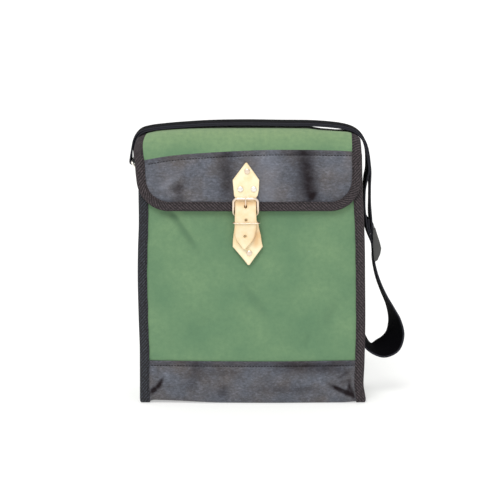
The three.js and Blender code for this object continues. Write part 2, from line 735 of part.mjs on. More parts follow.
function flapBinding() {
  const radius = FLAP_CORNER - EDGE_INSET;
  const station = (x, run, inX, inRun) => {
    const vinyl = smooth(run - seamRun(x), -5.5, -2);
    return { x, run, inX, inRun, over: GAP + vinyl * (VINYL + GAP), under: -CANVAS - 1.5 * GAP };
  };
  const half = (side) => {
    const sign = side === "left" ? 1 : -1;
    const seam = seamRun(flapSide(RUN_FRONT, side));
    const rows = FLAP_ROWS.slice(1, -CORNER_RUNS.length);
    const plain = rows.map((row) => row.run).filter((run) => Math.abs(run - seam) > 4);
    const runs = [1, ...plain, seam - 6, seam - 1.5].sort((a, b) => a - b);
    const straight = runs.map((run) => station(flapSide(run, side), run, sign, 0));
    const corner = CORNER_ANGLES.map((angle, n) => {
      const turn = THREE.MathUtils.degToRad(angle);
      const run = CORNER_RUNS[n];
      return station(flapSide(run, side), run, sign * Math.cos(turn), -Math.sin(turn));
    });
    return [...straight, ...corner];
  };
  const left = half("left");
  const right = half("right").reverse();
  const start = left[left.length - 1].x;
  const end = right[0].x;
  const foot = [0.2, 0.4, 0.6, 0.8].map((t) => station(lerp(start, end, t), RUN_END, 0, -1));
  return foldedTape([...left, ...foot, ...right], (spot, reach, out) => {
    const short = clamp(reach, -2, radius);
    return onFlap(spot.x + short * spot.inX, spot.run + short * spot.inRun, out);
  });
}

function gussetWall(side, z, y) {
  const sign = side === "left" ? -1 : 1;
  const edge = side === "left" ? bodyLeft(z) : bodyRight(z);
  const bow = along(GUSSET_BOW, "z", "bow", z) * (1 - Math.min((y / 38) ** 2, 1));
  return edge - sign * (GUSSET_INSET + bow);
}

function gusset(side) {
  const sign = side === "left" ? -1 : 1;
  const spread = [0, 0, 0.16, 0.33, 0.5, 0.67, 0.84, 1, 1];
  const heights = [0, 0, 1.2, FOOT_RADIUS, 26, 51, 90, 140, 190, 245, 303];
  const inset = [FOOT_RADIUS, FOOT_RADIUS, CANVAS + GAP, CANVAS + GAP];
  const last = spread.length - 1;
  return bentSheet(last, heights.length - 1, (i, j, face) => {
    const edgeX = (side === "left" ? bodyLeft(0) : bodyRight(0)) - sign * 4;
    const floor = footLift(edgeX) + VINYL + GAP + 0.05;
    const z = j < 4 ? floor + heights[j] : heights[j];
    const flangeX = (side === "left" ? bodyLeft(z) : bodyRight(z)) - sign * EDGE_INSET;
    const set = j < 4 ? inset[j] : CANVAS + GAP;
    const front = frontY(flangeX, Math.max(z, floor + FOOT_RADIUS)) + set;
    const back = backY(flangeX, Math.max(z, floor + FOOT_RADIUS)) - set;
    const point = new THREE.Vector3(flangeX, lerp(front, back, spread[i]), z);
    const flange = i === 0 || i === last || j === 0;
    if (!flange) {
      point.x = gussetWall(side, z, point.y) - sign * (face ? 0 : CANVAS);
    }
    if (face) {
      const lean = j < 2 ? 0 : j === 2 ? 0.7 : 1;
      const rise = j < 2 ? 1 : j === 2 ? 0.7 : 0;
      point.y += CANVAS * lean * (i <= 1 ? 1 : i >= last - 1 ? -1 : 0);
      point.z += j <= 1 || i <= 1 || i >= last - 1 ? CANVAS * rise : 0;
    }
    return point;
  });
}

// Leather
const atStand = (x, z, stand) => new THREE.Vector3(x, frontPlane(z) - stand, z);

function oblong(x, z, half, reach) {
  const shape = new THREE.Shape();
  const drop = Math.max(reach - half, 0);
  shape.absarc(0, drop, half, 0, Math.PI, false);
  shape.absarc(0, -drop, half, Math.PI, 2 * Math.PI, false);
  const tool = new THREE.ExtrudeGeometry(shape, { depth: 60, bevelEnabled: false, curveSegments: 4 });
  tool.rotateX(0.5 * Math.PI);
  tool.translate(x, frontPlane(z) + 10, z);
  return tool;
}

function closureStrap() {
  const rows = STRAP_ROWS;
  const sheet = bentSheet(2, rows.length - 1, (i, j, face) => {
    const row = rows[j];
    const before = rows[Math.max(j - 1, 0)];
    const after = rows[Math.min(j + 1, rows.length - 1)];
    const slope = (after.stand - before.stand) / (after.z - before.z);
    const lift = face ? LEATHER : 0;
    return atStand(row.x + row.half * (i - 1), row.z - lift * slope * 0.5, row.stand + lift);
  });
  const posts = RIVETS.filter((rivet) => rivet.on === "strap").map((rivet) => ({
    x: rivet.x,
    z: rivet.z,
    half: RIVET_POST + GAP,
    reach: RIVET_POST + GAP,
  }));
  return cut(sheet, [...STRAP_HOLES, ...posts].map((hole) => oblong(hole.x, hole.z, hole.half, hole.reach)));
}

function buckleTab() {
  const radius = 0.5 * FRAME_WIRE + GAP + 0.5 * LEATHER;
  const fold = [0, 30, 60, 90, 120, 150, 180].map((angle) => {
    const turn = THREE.MathUtils.degToRad(angle);
    return {
      z: HEEL_Z + radius * Math.sin(turn),
      x: BUCKLE_X,
      half: 9.7,
      stand: HEEL_STAND + radius * Math.cos(turn),
    };
  });
  const rows = [...TAB_FRONT, ...fold, ...TAB_BACK];
  const sheet = bentSheet(2, rows.length - 1, (i, j, face) => {
    const row = rows[j];
    const before = rows[Math.max(j - 1, 0)];
    const after = rows[Math.min(j + 1, rows.length - 1)];
    const run = new THREE.Vector2(after.z - before.z, after.stand - before.stand).normalize();
    const out = (face ? 0.5 : -0.5) * LEATHER;
    return atStand(row.x + row.half * (i - 1), row.z - run.y * out, row.stand + run.x * out);
  });
  const slot = oblong(BUCKLE_X, HEEL_Z + 3, 1.7, 6);
  const post = oblong(RIVETS[3].x, RIVETS[3].z, RIVET_POST + GAP, RIVET_POST + GAP);
  return cut(sheet, [slot, post]);
}

// Buckle metal
function buckleFrame() {
  const points = roundedLoop(FRAME_HALF, HEEL_Z, TOP_BAR_Z, 4.5, 4).map(({ across, up }) =>
    atStand(BUCKLE_X + across, up, along(FRAME_ROWS, "z", "stand", up)),
  );
  const frame = wireLoop(points, 0.5 * FRAME_WIRE, new THREE.Vector3(0, -1, 0), 8);
  const bar = new THREE.CylinderGeometry(0.5 * TOP_BAR, 0.5 * TOP_BAR, 2 * FRAME_HALF - 9, 12);
  bar.rotateZ(0.5 * Math.PI);
  const seat = atStand(BUCKLE_X, TOP_BAR_Z, along(FRAME_ROWS, "z", "stand", TOP_BAR_Z));
  bar.translate(seat.x, seat.y, seat.z);
  return joined([frame, bar]);
}

function buckleProng() {
  const radius = 0.5 * (FRAME_WIRE + PRONG_WIRE) + GAP;
  const eye = Array.from({ length: 14 }, (_, n) => {
    const turn = (n / 14) * 2 * Math.PI;
    return atStand(BUCKLE_X, HEEL_Z + radius * Math.sin(turn), HEEL_STAND + radius * Math.cos(turn));
  });
  const shank = PRONG_ROWS.map((row) => atStand(BUCKLE_X, row.z, row.stand));
  const facing = new THREE.Vector3(1, 0, 0);
  return joined([
    wireLoop(eye, 0.5 * PRONG_WIRE, facing, 6),
    wireRun(shank, 0.5 * PRONG_WIRE, facing, 6),
  ]);
}

function wireKeeper() {
  const points = roundedLoop(KEEPER_HALF, 7.6, 15.4, 2.6, 3).map(({ across, up }) =>
    atStand(KEEPER_X + across, KEEPER_Z, up),
  );
  return wireLoop(points, 0.5 * KEEPER_WIRE, new THREE.Vector3(0, 0, 1), 6);
}

function rivet(spec) {
  const onStrap = spec.on === "strap";
  const stand = onStrap
    ? along(STRAP_ROWS, "z", "stand", spec.z) + LEATHER
    : along(TAB_FRONT, "z", "stand", spec.z) + 0.5 * LEATHER;
  const depth = (onStrap ? LEATHER : 2 * LEATHER + GAP) + GAP;
  const profile = [
    [0, -depth],
    [RIVET_POST, -depth],
    [RIVET_POST, 0.1],
    [RIVET_RADIUS, 0.1],
    [RIVET_RADIUS - 0.1, 0.7],
    [RIVET_RADIUS - 0.9, 1.35],
    [RIVET_RADIUS - 2.2, 1.7],
    [0, 1.8],
  ].map(([radius, up]) => new THREE.Vector2(radius, up + GAP));
  const cap = new THREE.LatheGeometry(profile, 10);
  cap.rotateX(Math.PI);
  const seat = atStand(spec.x, spec.z, stand);
  cap.translate(seat.x, seat.y, seat.z);
  return sealed(cap);
}

// Shoulder strap
function arc(middle, radius, start, end, steps) {
  return Array.from({ length: steps + 1 }, (_, n) => {
    const angle = THREE.MathUtils.degToRad(lerp(start, end, n / steps));
    return { x: middle.x + radius * Math.cos(angle), z: middle.z + radius * Math.sin(angle) };
  });
}

function inward(rows, by) {
  return rows.map((row, n) => {
    const before = rows[Math.max(n - 1, 0)];
    const after = rows[Math.min(n + 1, rows.length - 1)];
    const run = new THREE.Vector2(after.x - before.x, after.z - before.z).normalize();
    return { ...row, x: row.x - run.y * by, z: row.z + run.x * by };
  });
}

function sewnX(z) {
  return gussetWall("right", z, 0.5 * STRAP_WIDTH) + GAP + 0.5 * WEBBING;
}

function strapRoute() {
  const round = 0.5 * (RING_WIRE + WEBBING) + GAP;
  const turn = { x: sewnX(268) + 4.2, z: 270 };
  const doubled = OVER_TOP.slice(3);
  return [
    ...[226, 240, 255].map((z) => ({ x: sewnX(z), z })),
    ...arc(turn, 4.2, 180, 0, 6),
    ...HANGING_LOOP,
    ...THROUGH_SLIDE,
    ...OVER_TOP,
    ...arc(RING_TOP, round, 180, 360, 6),
    ...inward(doubled, STRAP_STEP).reverse(),
    ...SEWN_END,
    ...arc(SLIDE_BARS[1], round, 180, 382, 8),
    ...SEWN_RETURN,
  ];
}

function ribbon(rows, width, thickness) {
  return bentSheet(rows.length - 1, 1, (i, j, face) => {
    const row = rows[i];
    const before = rows[Math.max(i - 1, 0)];
    const after = rows[Math.min(i + 1, rows.length - 1)];
    const lean = new THREE.Vector2(row.lean_x ?? 0, row.lean_z ?? 0);
    const deep = Math.sqrt((0.5 * width) ** 2 - lean.lengthSq());
    const across = new THREE.Vector3(lean.x, -deep, lean.y);
    const run = new THREE.Vector3(after.x - before.x, 0, after.z - before.z);
    const out = run.cross(across).normalize();
    return new THREE.Vector3(row.x, 0, row.z)
      .addScaledVector(across, j ? 1 : -1)
      .addScaledVector(out, (face ? 0.5 : -0.5) * thickness);
  });
}

function strapSlide() {
  const thick = 3.2;
  const clear = 0.5 * STRAP_WIDTH + 0.6;
  const shape = new THREE.Shape(SLIDE_PROFILE.map(({ x, z }) => new THREE.Vector2(x, z)));
  const rail = (y) => {
    const side = new THREE.ExtrudeGeometry(shape, { depth: thick, bevelEnabled: false });
    side.rotateX(0.5 * Math.PI);
    side.translate(0, y, 0);
    return side;
  };
  const bars = SLIDE_BARS.map(({ x, z }) => {
    const bar = new THREE.CylinderGeometry(0.5 * SLIDE_BAR, 0.5 * SLIDE_BAR, 2 * clear + thick, 10);
    bar.translate(x, 0, z);
    return bar;
  });
  return joined([rail(clear + thick), rail(-clear), ...bars]);
}

function strapRing() {
  const span = new THREE.Vector2(RING_TOP.x - RING_FOOT.x, RING_TOP.z - RING_FOOT.z);
  const points = roundedLoop(RING_HALF, 0, span.length(), 2.3, 3).map(({ across, up }) => {
    const t = up / span.length();
    return new THREE.Vector3(RING_FOOT.x + span.x * t, across, RING_FOOT.z + span.y * t);
  });
  const facing = new THREE.Vector3(-span.y, 0, span.x).normalize();
  return wireLoop(points, 0.5 * RING_WIRE, facing, 8);
}

function ringTab() {
  const thick = 1.4;
  const round = 0.5 * (RING_WIRE + thick) + GAP;
  const wall = (z) => gussetWall("left", z, 18) - 2 * GAP - 0.5 * thick;
  const rows = [
    { x: wall(224), z: 224 },
    { x: wall(246), z: 246 },
    { x: wall(255) - 1.4, z: 255 },
    ...arc(RING_FOOT, round, -20, 210, 10),
    { x: wall(254) - 3.4, z: 254 },
    { x: wall(246) - thick - GAP, z: 246 },
    { x: wall(224) - thick - GAP, z: 224 },
  ];
  return ribbon(rows, 36, thick);
}

// Assembly
const COLOURS = {
  canvas: 0x64885f,
  vinyl: 0x2c2c30,
  tape: 0x3c3b40,
  leather: 0xe6c48c,
  nickel: 0xc9c4bd,
  webbing: 0x121218,
  plastic: 0x55555a,
};

const bag = new THREE.Group();
bag.name = "canvas_bag";

function add(name, geometry, slot) {
  const material = new THREE.MeshStandardMaterial({ color: COLOURS[slot], name: slot });
  const mesh = new THREE.Mesh(geometry, material);
  mesh.name = name;
  bag.add(mesh);
}

add("front_panel", bodySheet(COLUMNS, FRONT_ROWS, -CANVAS, 0), "canvas");
add("back_flap_panel", backAndFlap(), "canvas");
add("base_vinyl", bodySheet(COLUMNS, BASE_ROWS, GAP, GAP + VINYL), "vinyl");
add("flap_vinyl", flapVinyl(), "vinyl");
for (const side of ["left", "right"]) {
  add(`gusset_${side}`, gusset(side), "canvas");
  add(`side_binding_${side}`, sideBinding(side), "tape");
}
add("flap_binding", flapBinding(), "tape");
add("closure_strap", closureStrap(), "leather");
add("buckle_tab", buckleTab(), "leather");
add("buckle_frame", buckleFrame(), "nickel");
add("buckle_prong", buckleProng(), "nickel");
add("wire_keeper", wireKeeper(), "nickel");
for (const spec of RIVETS) {
  add(spec.name, rivet(spec), "nickel");
}
add("shoulder_strap", ribbon(strapRoute(), STRAP_WIDTH, WEBBING), "webbing");
add("strap_slide", strapSlide(), "plastic");
add("strap_ring", strapRing(), "nickel");
add("ring_tab", ringTab(), "webbing");

export default bag;
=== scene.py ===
"""Canvas shoulder bag with a buckled flap, dressed for rendering.

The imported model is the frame. Each piece here follows the driving sizes of the solid that it stands for,
with a finer mesh, sewing and a finish. Sizes are millimetres here, and meshes are written in metres.
"""

import logging
import math
from dataclasses import dataclass
from enum import Enum
from typing import Callable, NamedTuple, Sequence

import bmesh
import bpy
import numpy as np
from mathutils import Matrix, Vector

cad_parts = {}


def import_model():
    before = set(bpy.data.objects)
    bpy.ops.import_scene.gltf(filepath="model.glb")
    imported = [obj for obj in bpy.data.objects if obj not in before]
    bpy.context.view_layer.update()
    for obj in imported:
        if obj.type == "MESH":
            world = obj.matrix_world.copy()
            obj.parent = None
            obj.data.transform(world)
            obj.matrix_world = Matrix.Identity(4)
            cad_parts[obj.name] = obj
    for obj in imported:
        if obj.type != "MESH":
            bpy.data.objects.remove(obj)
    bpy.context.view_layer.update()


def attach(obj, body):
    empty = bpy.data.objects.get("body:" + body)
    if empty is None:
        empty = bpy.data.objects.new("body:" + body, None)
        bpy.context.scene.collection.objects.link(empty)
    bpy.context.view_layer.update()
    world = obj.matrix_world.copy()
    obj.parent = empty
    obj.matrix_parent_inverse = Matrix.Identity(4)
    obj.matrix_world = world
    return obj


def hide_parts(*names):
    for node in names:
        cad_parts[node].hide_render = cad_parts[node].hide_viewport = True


log = logging.getLogger("canvas_bag")

MM = 0.001
BODY = "root"

# Sheet thicknesses and the gap between neighbouring pieces
CANVAS = 1.2
VINYL = 1.0
TAPE = 1.0
LEATHER = 2.2
WEBBING = 1.6
GAP = 0.3

Array = np.ndarray
Arrays = tuple[Array, Array]
Piece = bpy.types.Object
Material = bpy.types.Material
Mesh = bmesh.types.BMesh
Pair = tuple[float, float]
Spot = tuple[float, float, float]
Place = Callable[[Array, Array], Arrays]


class Side(Enum):
    """The bag's two sides, as the viewer who faces the flap sees them."""

    LEFT = -1
    RIGHT = 1


class Slot(Enum):
    """The record's material slots."""

    CANVAS = "canvas"
    VINYL = "vinyl"
    TAPE = "tape"
    LEATHER = "leather"
    NICKEL = "nickel"
    WEBBING = "webbing"
    PLASTIC = "plastic"


class Carve(Enum):
    """How one solid changes another."""

    DIFFERENCE = "holes"
    UNION = "joins"


# Shape helpers


def lerp(start: Array, end: Array, share: Array) -> Array:
    """Go from start to end by a share."""
    return start + (end - start) * share


def smooth(at: Array, low: float, high: float) -> Array:
    """Rise gently from 0 at low to 1 at high."""
    share = np.clip((at - low) / (high - low), 0.0, 1.0)
    return share * share * (3.0 - 2.0 * share)


def soft_clip(at: Array, high: float, softness: float) -> Array:
    """Hold a length between 0 and high, with rounded corners."""
    return softness * (np.logaddexp(0.0, at / softness) - np.logaddexp(0.0, (at - high) / softness))


def named(kind: type, *rows: tuple[float, ...]) -> tuple:
    """Name the figures of a table's rows."""
    return tuple(kind(*row) for row in rows)


def unit(vectors: Array) -> Array:
    """Scale vectors to length 1."""
    return vectors / np.linalg.norm(vectors, axis=-1, keepdims=True)


def beside(*parts: Array) -> Array:
    """Put values side by side as columns."""
    return np.stack(parts, axis=-1)


def spots(x: Array, y: Array, z: Array) -> Array:
    """Put coordinates together as points."""
    return np.stack(np.broadcast_arrays(x, y, z), axis=-1).astype(float)


def run_lengths(points: Array) -> Array:
    """Give the distance run at each point of a line."""
    steps = np.linalg.norm(np.diff(points, axis=0), axis=-1)
    return np.concatenate(([0.0], np.cumsum(steps)))


@dataclass(frozen=True)
class Curve:
    """A smooth line through a few (place, value) stations."""

    stations: tuple[Pair, ...]

    def __call__(self, at: Array) -> Array:
        """Read the line.

        Args:
            at: Places along it, which are held between its ends.

        Returns:
            The values there.
        """
        keys, values = np.array(sorted(self.stations), float).T
        slopes = np.gradient(values, keys, edge_order=1)
        slopes[1:-1] = (values[2:] - values[:-2]) / (keys[2:] - keys[:-2])
        at = np.clip(at, keys[0], keys[-1])
        here = np.clip(np.searchsorted(keys, at, side="right") - 1, 0, len(keys) - 2)
        span = keys[here + 1] - keys[here]
        t = (at - keys[here]) / span
        u = 1.0 - t
        return (
            values[here] * (1.0 + 2.0 * t) * u * u
            + slopes[here] * span * t * u * u
            + values[here + 1] * t * t * (3.0 - 2.0 * t)
            - slopes[here + 1] * span * t * t * u
        )


@dataclass(frozen=True)
class Fold:
    """A soft crease pressed into a sheet, also laid as a soft band of painted shade, or of painted light
    where the depth is below 0: its middle, direction in degrees, length, width and depth.
    """

    x: float
    z: float
    turn: float
    length: float
    width: float
    depth: float

    def press(self, x: Array, z: Array) -> Array:
        """Give how deep the crease is at each place.

        Args:
            x: Places across the sheet.
            z: Heights on the sheet.

        Returns:
            Depths below the plain sheet.
        """
        cos, sin = math.cos(math.radians(self.turn)), math.sin(math.radians(self.turn))
        run = (x - self.x) * cos + (z - self.z) * sin
        off = (z - self.z) * cos - (x - self.x) * sin
        reach = np.clip(1.0 - np.abs(run) / (0.5 * self.length), 0.0, 1.0)
        return self.depth * smooth(reach, 0.0, 0.7) * np.exp(-((off / self.width) ** 2))


def pressed(folds: Sequence[Fold], x: Array, z: Array) -> Array:
    """Add up several creases."""
    return sum(fold.press(x, z) for fold in folds)


def rounded_loop(half: float, low: float, high: float, radius: float, steps: int) -> Array:
    """Give a loop with straight sides and round corners.

    Args:
        half: Half of its width.
        low: Height of its lower side.
        high: Height of its upper side.
        radius: Radius of its corners.
        steps: Points round a corner.

    Returns:
        Rows of across and up.
    """
    x, top, foot = half - radius, high - radius, low + radius
    corners = []
    for turn, middle in enumerate(((x, top), (-x, top), (-x, foot), (x, foot))):
        angle = np.radians(np.linspace(90.0 * turn, 90.0 * turn + 90.0, steps))
        corners.append(np.array(middle) + radius * beside(np.cos(angle), np.sin(angle)))
    shares = np.linspace(0.0, 1.0, 10)[1:-1, None]
    points = []
    for corner, after in zip(corners, corners[1:] + corners[:1]):
        points += [corner, lerp(corner[-1], after[0], shares)]
    return np.concatenate(points)


def on_surface(surface: Callable, a: Array, b: Array, step_a: float, step_b: float, out: Array) -> Array:
    """Stand off a surface along its plain normal.

    Args:
        surface: Gives points from two parameters, with or without its creases.
        a: First parameter.
        b: Second parameter.
        step_a: Small step of the first.
        step_b: Small step of the second.
        out: Distance outwards.

    Returns:
        The points at that distance.
    """
    along_a = surface(a + step_a, b, False) - surface(a - step_a, b, False)
    along_b = surface(a, b + step_b, False) - surface(a, b - step_b, False)
    normal = unit(np.cross(along_b, along_a))
    return surface(a, b, True) + normal * np.broadcast_to(out, a.shape)[..., None]


# Mesh helpers


def as_piece(bm: Mesh, name: str) -> Piece:
    """Turn a bmesh into a linked object with smooth faces.

    Args:
        bm: The mesh, which is freed.
        name: Name of the new piece.

    Returns:
        The piece, at the origin.
    """
    mesh = bpy.data.meshes.new(name)
    bm.to_mesh(mesh)
    bm.free()
    mesh.shade_smooth()
    piece = bpy.data.objects.new(name, mesh)
    bpy.context.scene.collection.objects.link(piece)
    return piece


def places_of(piece: Piece) -> Array:
    """Give the places of a piece's vertices in millimetres."""
    return np.array([vert.co for vert in piece.data.vertices]) / MM


def prism(outline: Sequence[Spot], depth: Spot) -> Mesh:
    """Draw a flat outline out into a solid.

    Args:
        outline: Corners of one end.
        depth: The way to the other end.

    Returns:
        The solid.
    """
    bm = bmesh.new()
    face = bm.faces.new([bm.verts.new(Vector(corner) * MM) for corner in outline])
    made = bmesh.ops.extrude_face_region(bm, geom=[face])
    verts = [item for item in made["geom"] if isinstance(item, bmesh.types.BMVert)]
    bmesh.ops.translate(bm, verts=verts, vec=Vector(depth) * MM)
    bmesh.ops.recalc_face_normals(bm, faces=bm.faces[:])
    return bm


def bent_grid(
    name: str, columns: int, rows: int, place: Place, flip: bool = False, weld: bool = False
) -> Piece:
    """Bend a flat grid of quads into shape.

    Args:
        name: Name of the new piece.
        columns: Quads across.
        rows: Quads along.
        place: Turns shares across and along, from 0 to 1, into points and flat places.
        flip: Turn the faces round, where the bent grid faces inwards.
        weld: Join edges that meet, as on a wire.

    Returns:
        The piece, an open sheet unless it is welded shut.
    """
    bm = bmesh.new()
    bmesh.ops.create_grid(bm, x_segments=columns, y_segments=rows, size=0.5)
    shares = np.array([vert.co[:2] for vert in bm.verts]) + 0.5
    points, flat = place(shares[:, 0], shares[:, 1])
    cut = bm.loops.layers.uv.new("cut")
    for vert, point, mark in zip(bm.verts, points * MM, flat * MM):
        vert.co = point
        for loop in vert.link_loops:
            loop[cut].uv = mark
    if weld:
        bmesh.ops.remove_doubles(bm, verts=bm.verts[:], dist=0.002 * MM)
        bmesh.ops.dissolve_degenerate(bm, dist=0.001 * MM, edges=bm.edges[:])
        bmesh.ops.recalc_face_normals(bm, faces=bm.faces[:])
    if flip:
        bmesh.ops.reverse_faces(bm, faces=bm.faces[:])
    return as_piece(bm, name)


def wire(name: str, path: Array, radius: Array, facing: Spot, closed: bool, sides: int = 14) -> Piece:
    """Draw a round wire along a path.

    Args:
        name: Name of the new piece.
        path: Points of its middle line. A closed path doesn't repeat its first point.
        radius: Radius at each point, or one for all.
        facing: A direction that the path never follows.
        closed: Whether the wire is a loop.
        sides: Faces round the wire.

    Returns:
        The wire. An open one closes where its radius is 0.
    """
    if closed:
        path = np.concatenate((path, path[:1]))
        radius = np.append(np.broadcast_to(radius, len(path) - 1), np.ravel(radius)[0])
        tangent = unit(np.roll(path[:-1], -1, 0) - np.roll(path[:-1], 1, 0))
        tangent = np.concatenate((tangent, tangent[:1]))
    else:
        radius = np.broadcast_to(radius, len(path))
        tangent = unit(np.gradient(path, axis=0))
    out = unit(np.array(facing) - tangent * (tangent @ np.array(facing))[:, None])
    side = np.cross(tangent, out)
    run = run_lengths(path)

    def place(across: Array, along: Array) -> Arrays:
        """Put a share round and along on the wire's skin."""
        here = np.rint(along * (len(path) - 1)).astype(int)
        angle = 2.0 * math.pi * across
        ring = out[here] * np.cos(angle)[:, None] + side[here] * np.sin(angle)[:, None]
        flat = beside(2.0 * math.pi * across * radius[here], run[here])
        return path[here] + ring * radius[here][:, None], flat

    return bent_grid(name, sides, len(path) - 1, place, weld=True)


def thicken(piece: Piece, thickness: float, offset: float = -1.0) -> None:
    """Give a sheet its thickness.

    Args:
        piece: The sheet.
        thickness: Its thickness.
        offset: -1 to grow inwards, 0 to grow both ways.
    """
    wall = piece.modifiers.new("thickness", "SOLIDIFY")
    wall.thickness = thickness * MM
    wall.offset = offset


def bake(piece: Piece) -> None:
    """Apply modifiers to a mesh.

    Args:
        piece: The piece that has them.
    """
    graph = bpy.context.evaluated_depsgraph_get()
    mesh = bpy.data.meshes.new_from_object(piece.evaluated_get(graph))
    piece.modifiers.clear()
    old, piece.data = piece.data, mesh
    bpy.data.meshes.remove(old)
    mesh.name = piece.name


def carve(piece: Piece, tools: Sequence[Piece], how: Carve) -> None:
    """Cut tools out of a piece or join them to it, and remove the tools.

    Args:
        piece: The solid that changes.
        tools: Solids that are used up.
        how: Cut or join.
    """
    for tool in tools:
        step = piece.modifiers.new(how.value, "BOOLEAN")
        step.operation = how.name
        step.solver = "EXACT"
        step.object = tool
    bake(piece)
    for tool in tools:
        bpy.data.objects.remove(tool)


def dress(piece: Piece, material: Material, slot: Slot, *nodes: str) -> None:
    """Finish a piece, set it on the body and let it stand for its solids.

    Args:
        piece: The new piece.
        material: Its finish.
        slot: The record's slot for that finish. Not used.
        nodes: CAD nodes that it replaces.
    """
    piece.data.materials.clear()
    piece.data.materials.append(material)
    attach(piece, BODY)
    if nodes:
        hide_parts(*nodes)
    log.info("%s: %d faces", piece.name, len(piece.data.polygons))


@dataclass(frozen=True)
class Stitch:
    """One lockstitch as it lies on the cloth, and the pitch that it repeats at."""

    length: float = 2.7
    width: float = 0.95
    height: float = 0.5
    pitch: float = 3.5

    def sew(self, bm: Mesh, points: Array, normals: Array) -> None:
        """Sew a row of stitches.

        Args:
            bm: The mesh that takes them.
            points: The seam's line.
            normals: Directions out of the cloth along it.
        """
        bead = bmesh.new()
        bmesh.ops.create_uvsphere(bead, u_segments=6, v_segments=4, radius=1.0)
        bead.verts.index_update()
        run = run_lengths(points)
        for at in np.arange(0.5 * self.pitch, run[-1] - 0.4 * self.pitch, self.pitch):
            ends = [[np.interp(at + d, run, points[:, k]) for k in range(3)] for d in (-0.4, 0.4)]
            middle = 0.5 * (np.array(ends[0]) + np.array(ends[1]))
            along = unit(np.array(ends[1]) - np.array(ends[0]))
            out = unit(np.array([np.interp(at, run, normals[:, k]) for k in range(3)]))
            side = unit(np.cross(along, out))
            spans = (side * self.width, np.cross(along, side) * self.height, along * self.length)
            axes = 0.5 * np.stack(spans)
            matrix = Matrix.Translation(Vector(middle * MM)) @ Matrix((axes.T * MM).tolist()).to_4x4()
            verts = [bm.verts.new(matrix @ vert.co) for vert in bead.verts]
            for face in bead.faces:
                bm.faces.new([verts[vert.index] for vert in face.verts])
        bead.free()


# Finishes

Source = tuple[bpy.types.Node, int]


def linear(code: str) -> tuple[float, float, float, float]:
    """Turn an sRGB hex colour into linear values.

    Args:
        code: The colour, as # and six digits.

    Returns:
        Red, green, blue and alpha.
    """
    parts = [int(code[n : n + 2], 16) / 255.0 for n in (1, 3, 5)]
    straight = [part / 12.92 if part <= 0.04045 else ((part + 0.055) / 1.055) ** 2.4 for part in parts]
    return (*straight, 1.0)


class Finish:
    """A material in the making: one Principled shader and the nodes that feed it. Sizes are millimetres."""

    def __init__(self, name: str, **sockets: float) -> None:
        """Start a finish.

        Args:
            name: Common name of the stuff.
            sockets: Constant values, with an underscore for each space in a socket's name.
        """
        self.material = bpy.data.materials.new(name)
        self.material.use_nodes = True
        self.tree = self.material.node_tree
        self.tree.nodes.clear()
        values = {socket.replace("_", " "): value for socket, value in sockets.items()}
        self.shader = self.node("ShaderNodeBsdfPrincipled", values)
        self.node("ShaderNodeOutputMaterial", {"Surface": (self.shader, 0)})

    def node(self, kind: str, links: dict | None = None, **settings) -> bpy.types.Node:
        """Add one shader node.

        Args:
            kind: Blender's name for it.
            links: Input to a plain value, or to a node and its output.
            settings: Attributes of the node itself.

        Returns:
            The node.
        """
        made = self.tree.nodes.new(kind)
        for name, value in settings.items():
            setattr(made, name, value)
        for socket, source in (links or {}).items():
            if isinstance(source, tuple) and isinstance(source[0], bpy.types.Node):
                self.tree.links.new(source[0].outputs[source[1]], made.inputs[socket])
            else:
                made.inputs[socket].default_value = source
        return made

    def cut(self) -> Source:
        """Read the piece's flat pattern."""
        return self.node("ShaderNodeUVMap", uv_map="cut"), 0

    def place(self) -> Source:
        """Read places in the piece's own frame."""
        return self.node("ShaderNodeTexCoord"), 3

    def mark(self, name: str) -> Source:
        """Read a vertex attribute."""
        return self.node("ShaderNodeAttribute", attribute_name=name), 2

    def turned(self, where: Source, turn: float, stretch: float = 1.0) -> Source:
        """Turn places by degrees and squeeze them along x."""
        links = {"Vector": where, "Rotation": (0.0, 0.0, math.radians(turn)), "Scale": (stretch, 1.0, 1.0)}
        return self.node("ShaderNodeMapping", links), 0

    def noise(self, where: Source, size: float, detail: float = 2.0, rough: float = 0.5) -> Source:
        """Make cloudy noise with one cell in a real size."""
        links = {"Vector": where, "Scale": 1.0 / (size * MM), "Detail": detail, "Roughness": rough}
        return self.node("ShaderNodeTexNoise", links), 0

    def bands(
        self, where: Source, pitch: float, way: str = "X", twist: float = 0.5, detail: float = 1.0
    ) -> Source:
        """Make soft bands that repeat at a real pitch along x or y."""
        links = {"Vector": where, "Scale": math.pi / (10.0 * pitch * MM), "Distortion": twist}
        return self.node("ShaderNodeTexWave", {**links, "Detail": detail}, bands_direction=way), 1

    def cells(self, where: Source, size: float) -> Source:
        """Make cells of a real size, as the distance to their edges."""
        links = {"Vector": where, "Scale": 1.0 / (size * MM)}
        return self.node("ShaderNodeTexVoronoi", links, feature="DISTANCE_TO_EDGE"), 0

    def ranged(self, source: Source, low: float, high: float, start: float = 0.0, end: float = 1.0) -> Source:
        """Map values between low and high to values between start and end."""
        links = {0: source, 1: low, 2: high, 3: start, 4: end}
        return self.node("ShaderNodeMapRange", links), 0

    def math(self, how: str, *sources: Source | float) -> Source:
        """Calculate with values."""
        return self.node("ShaderNodeMath", dict(enumerate(sources)), operation=how), 0

    def blend(
        self, share: Source | float, first: Source | tuple, second: Source | tuple, how: str = "MIX"
    ) -> Source:
        """Mix two colours by a share."""
        links = {0: share, 6: first, 7: second}
        return self.node("ShaderNodeMix", links, data_type="RGBA", blend_type=how), 2

    def bump(self, height: Source, strength: float, depth: float) -> None:
        """Raise the surface by a height map of a real depth."""
        links = {"Height": height, "Strength": strength, "Distance": depth * MM}
        self.feed("Normal", (self.node("ShaderNodeBump", links), 0))

    def feed(self, socket: str, source: Source) -> None:
        """Link a value to the shader."""
        self.tree.links.new(source[0].outputs[source[1]], self.shader.inputs[socket])


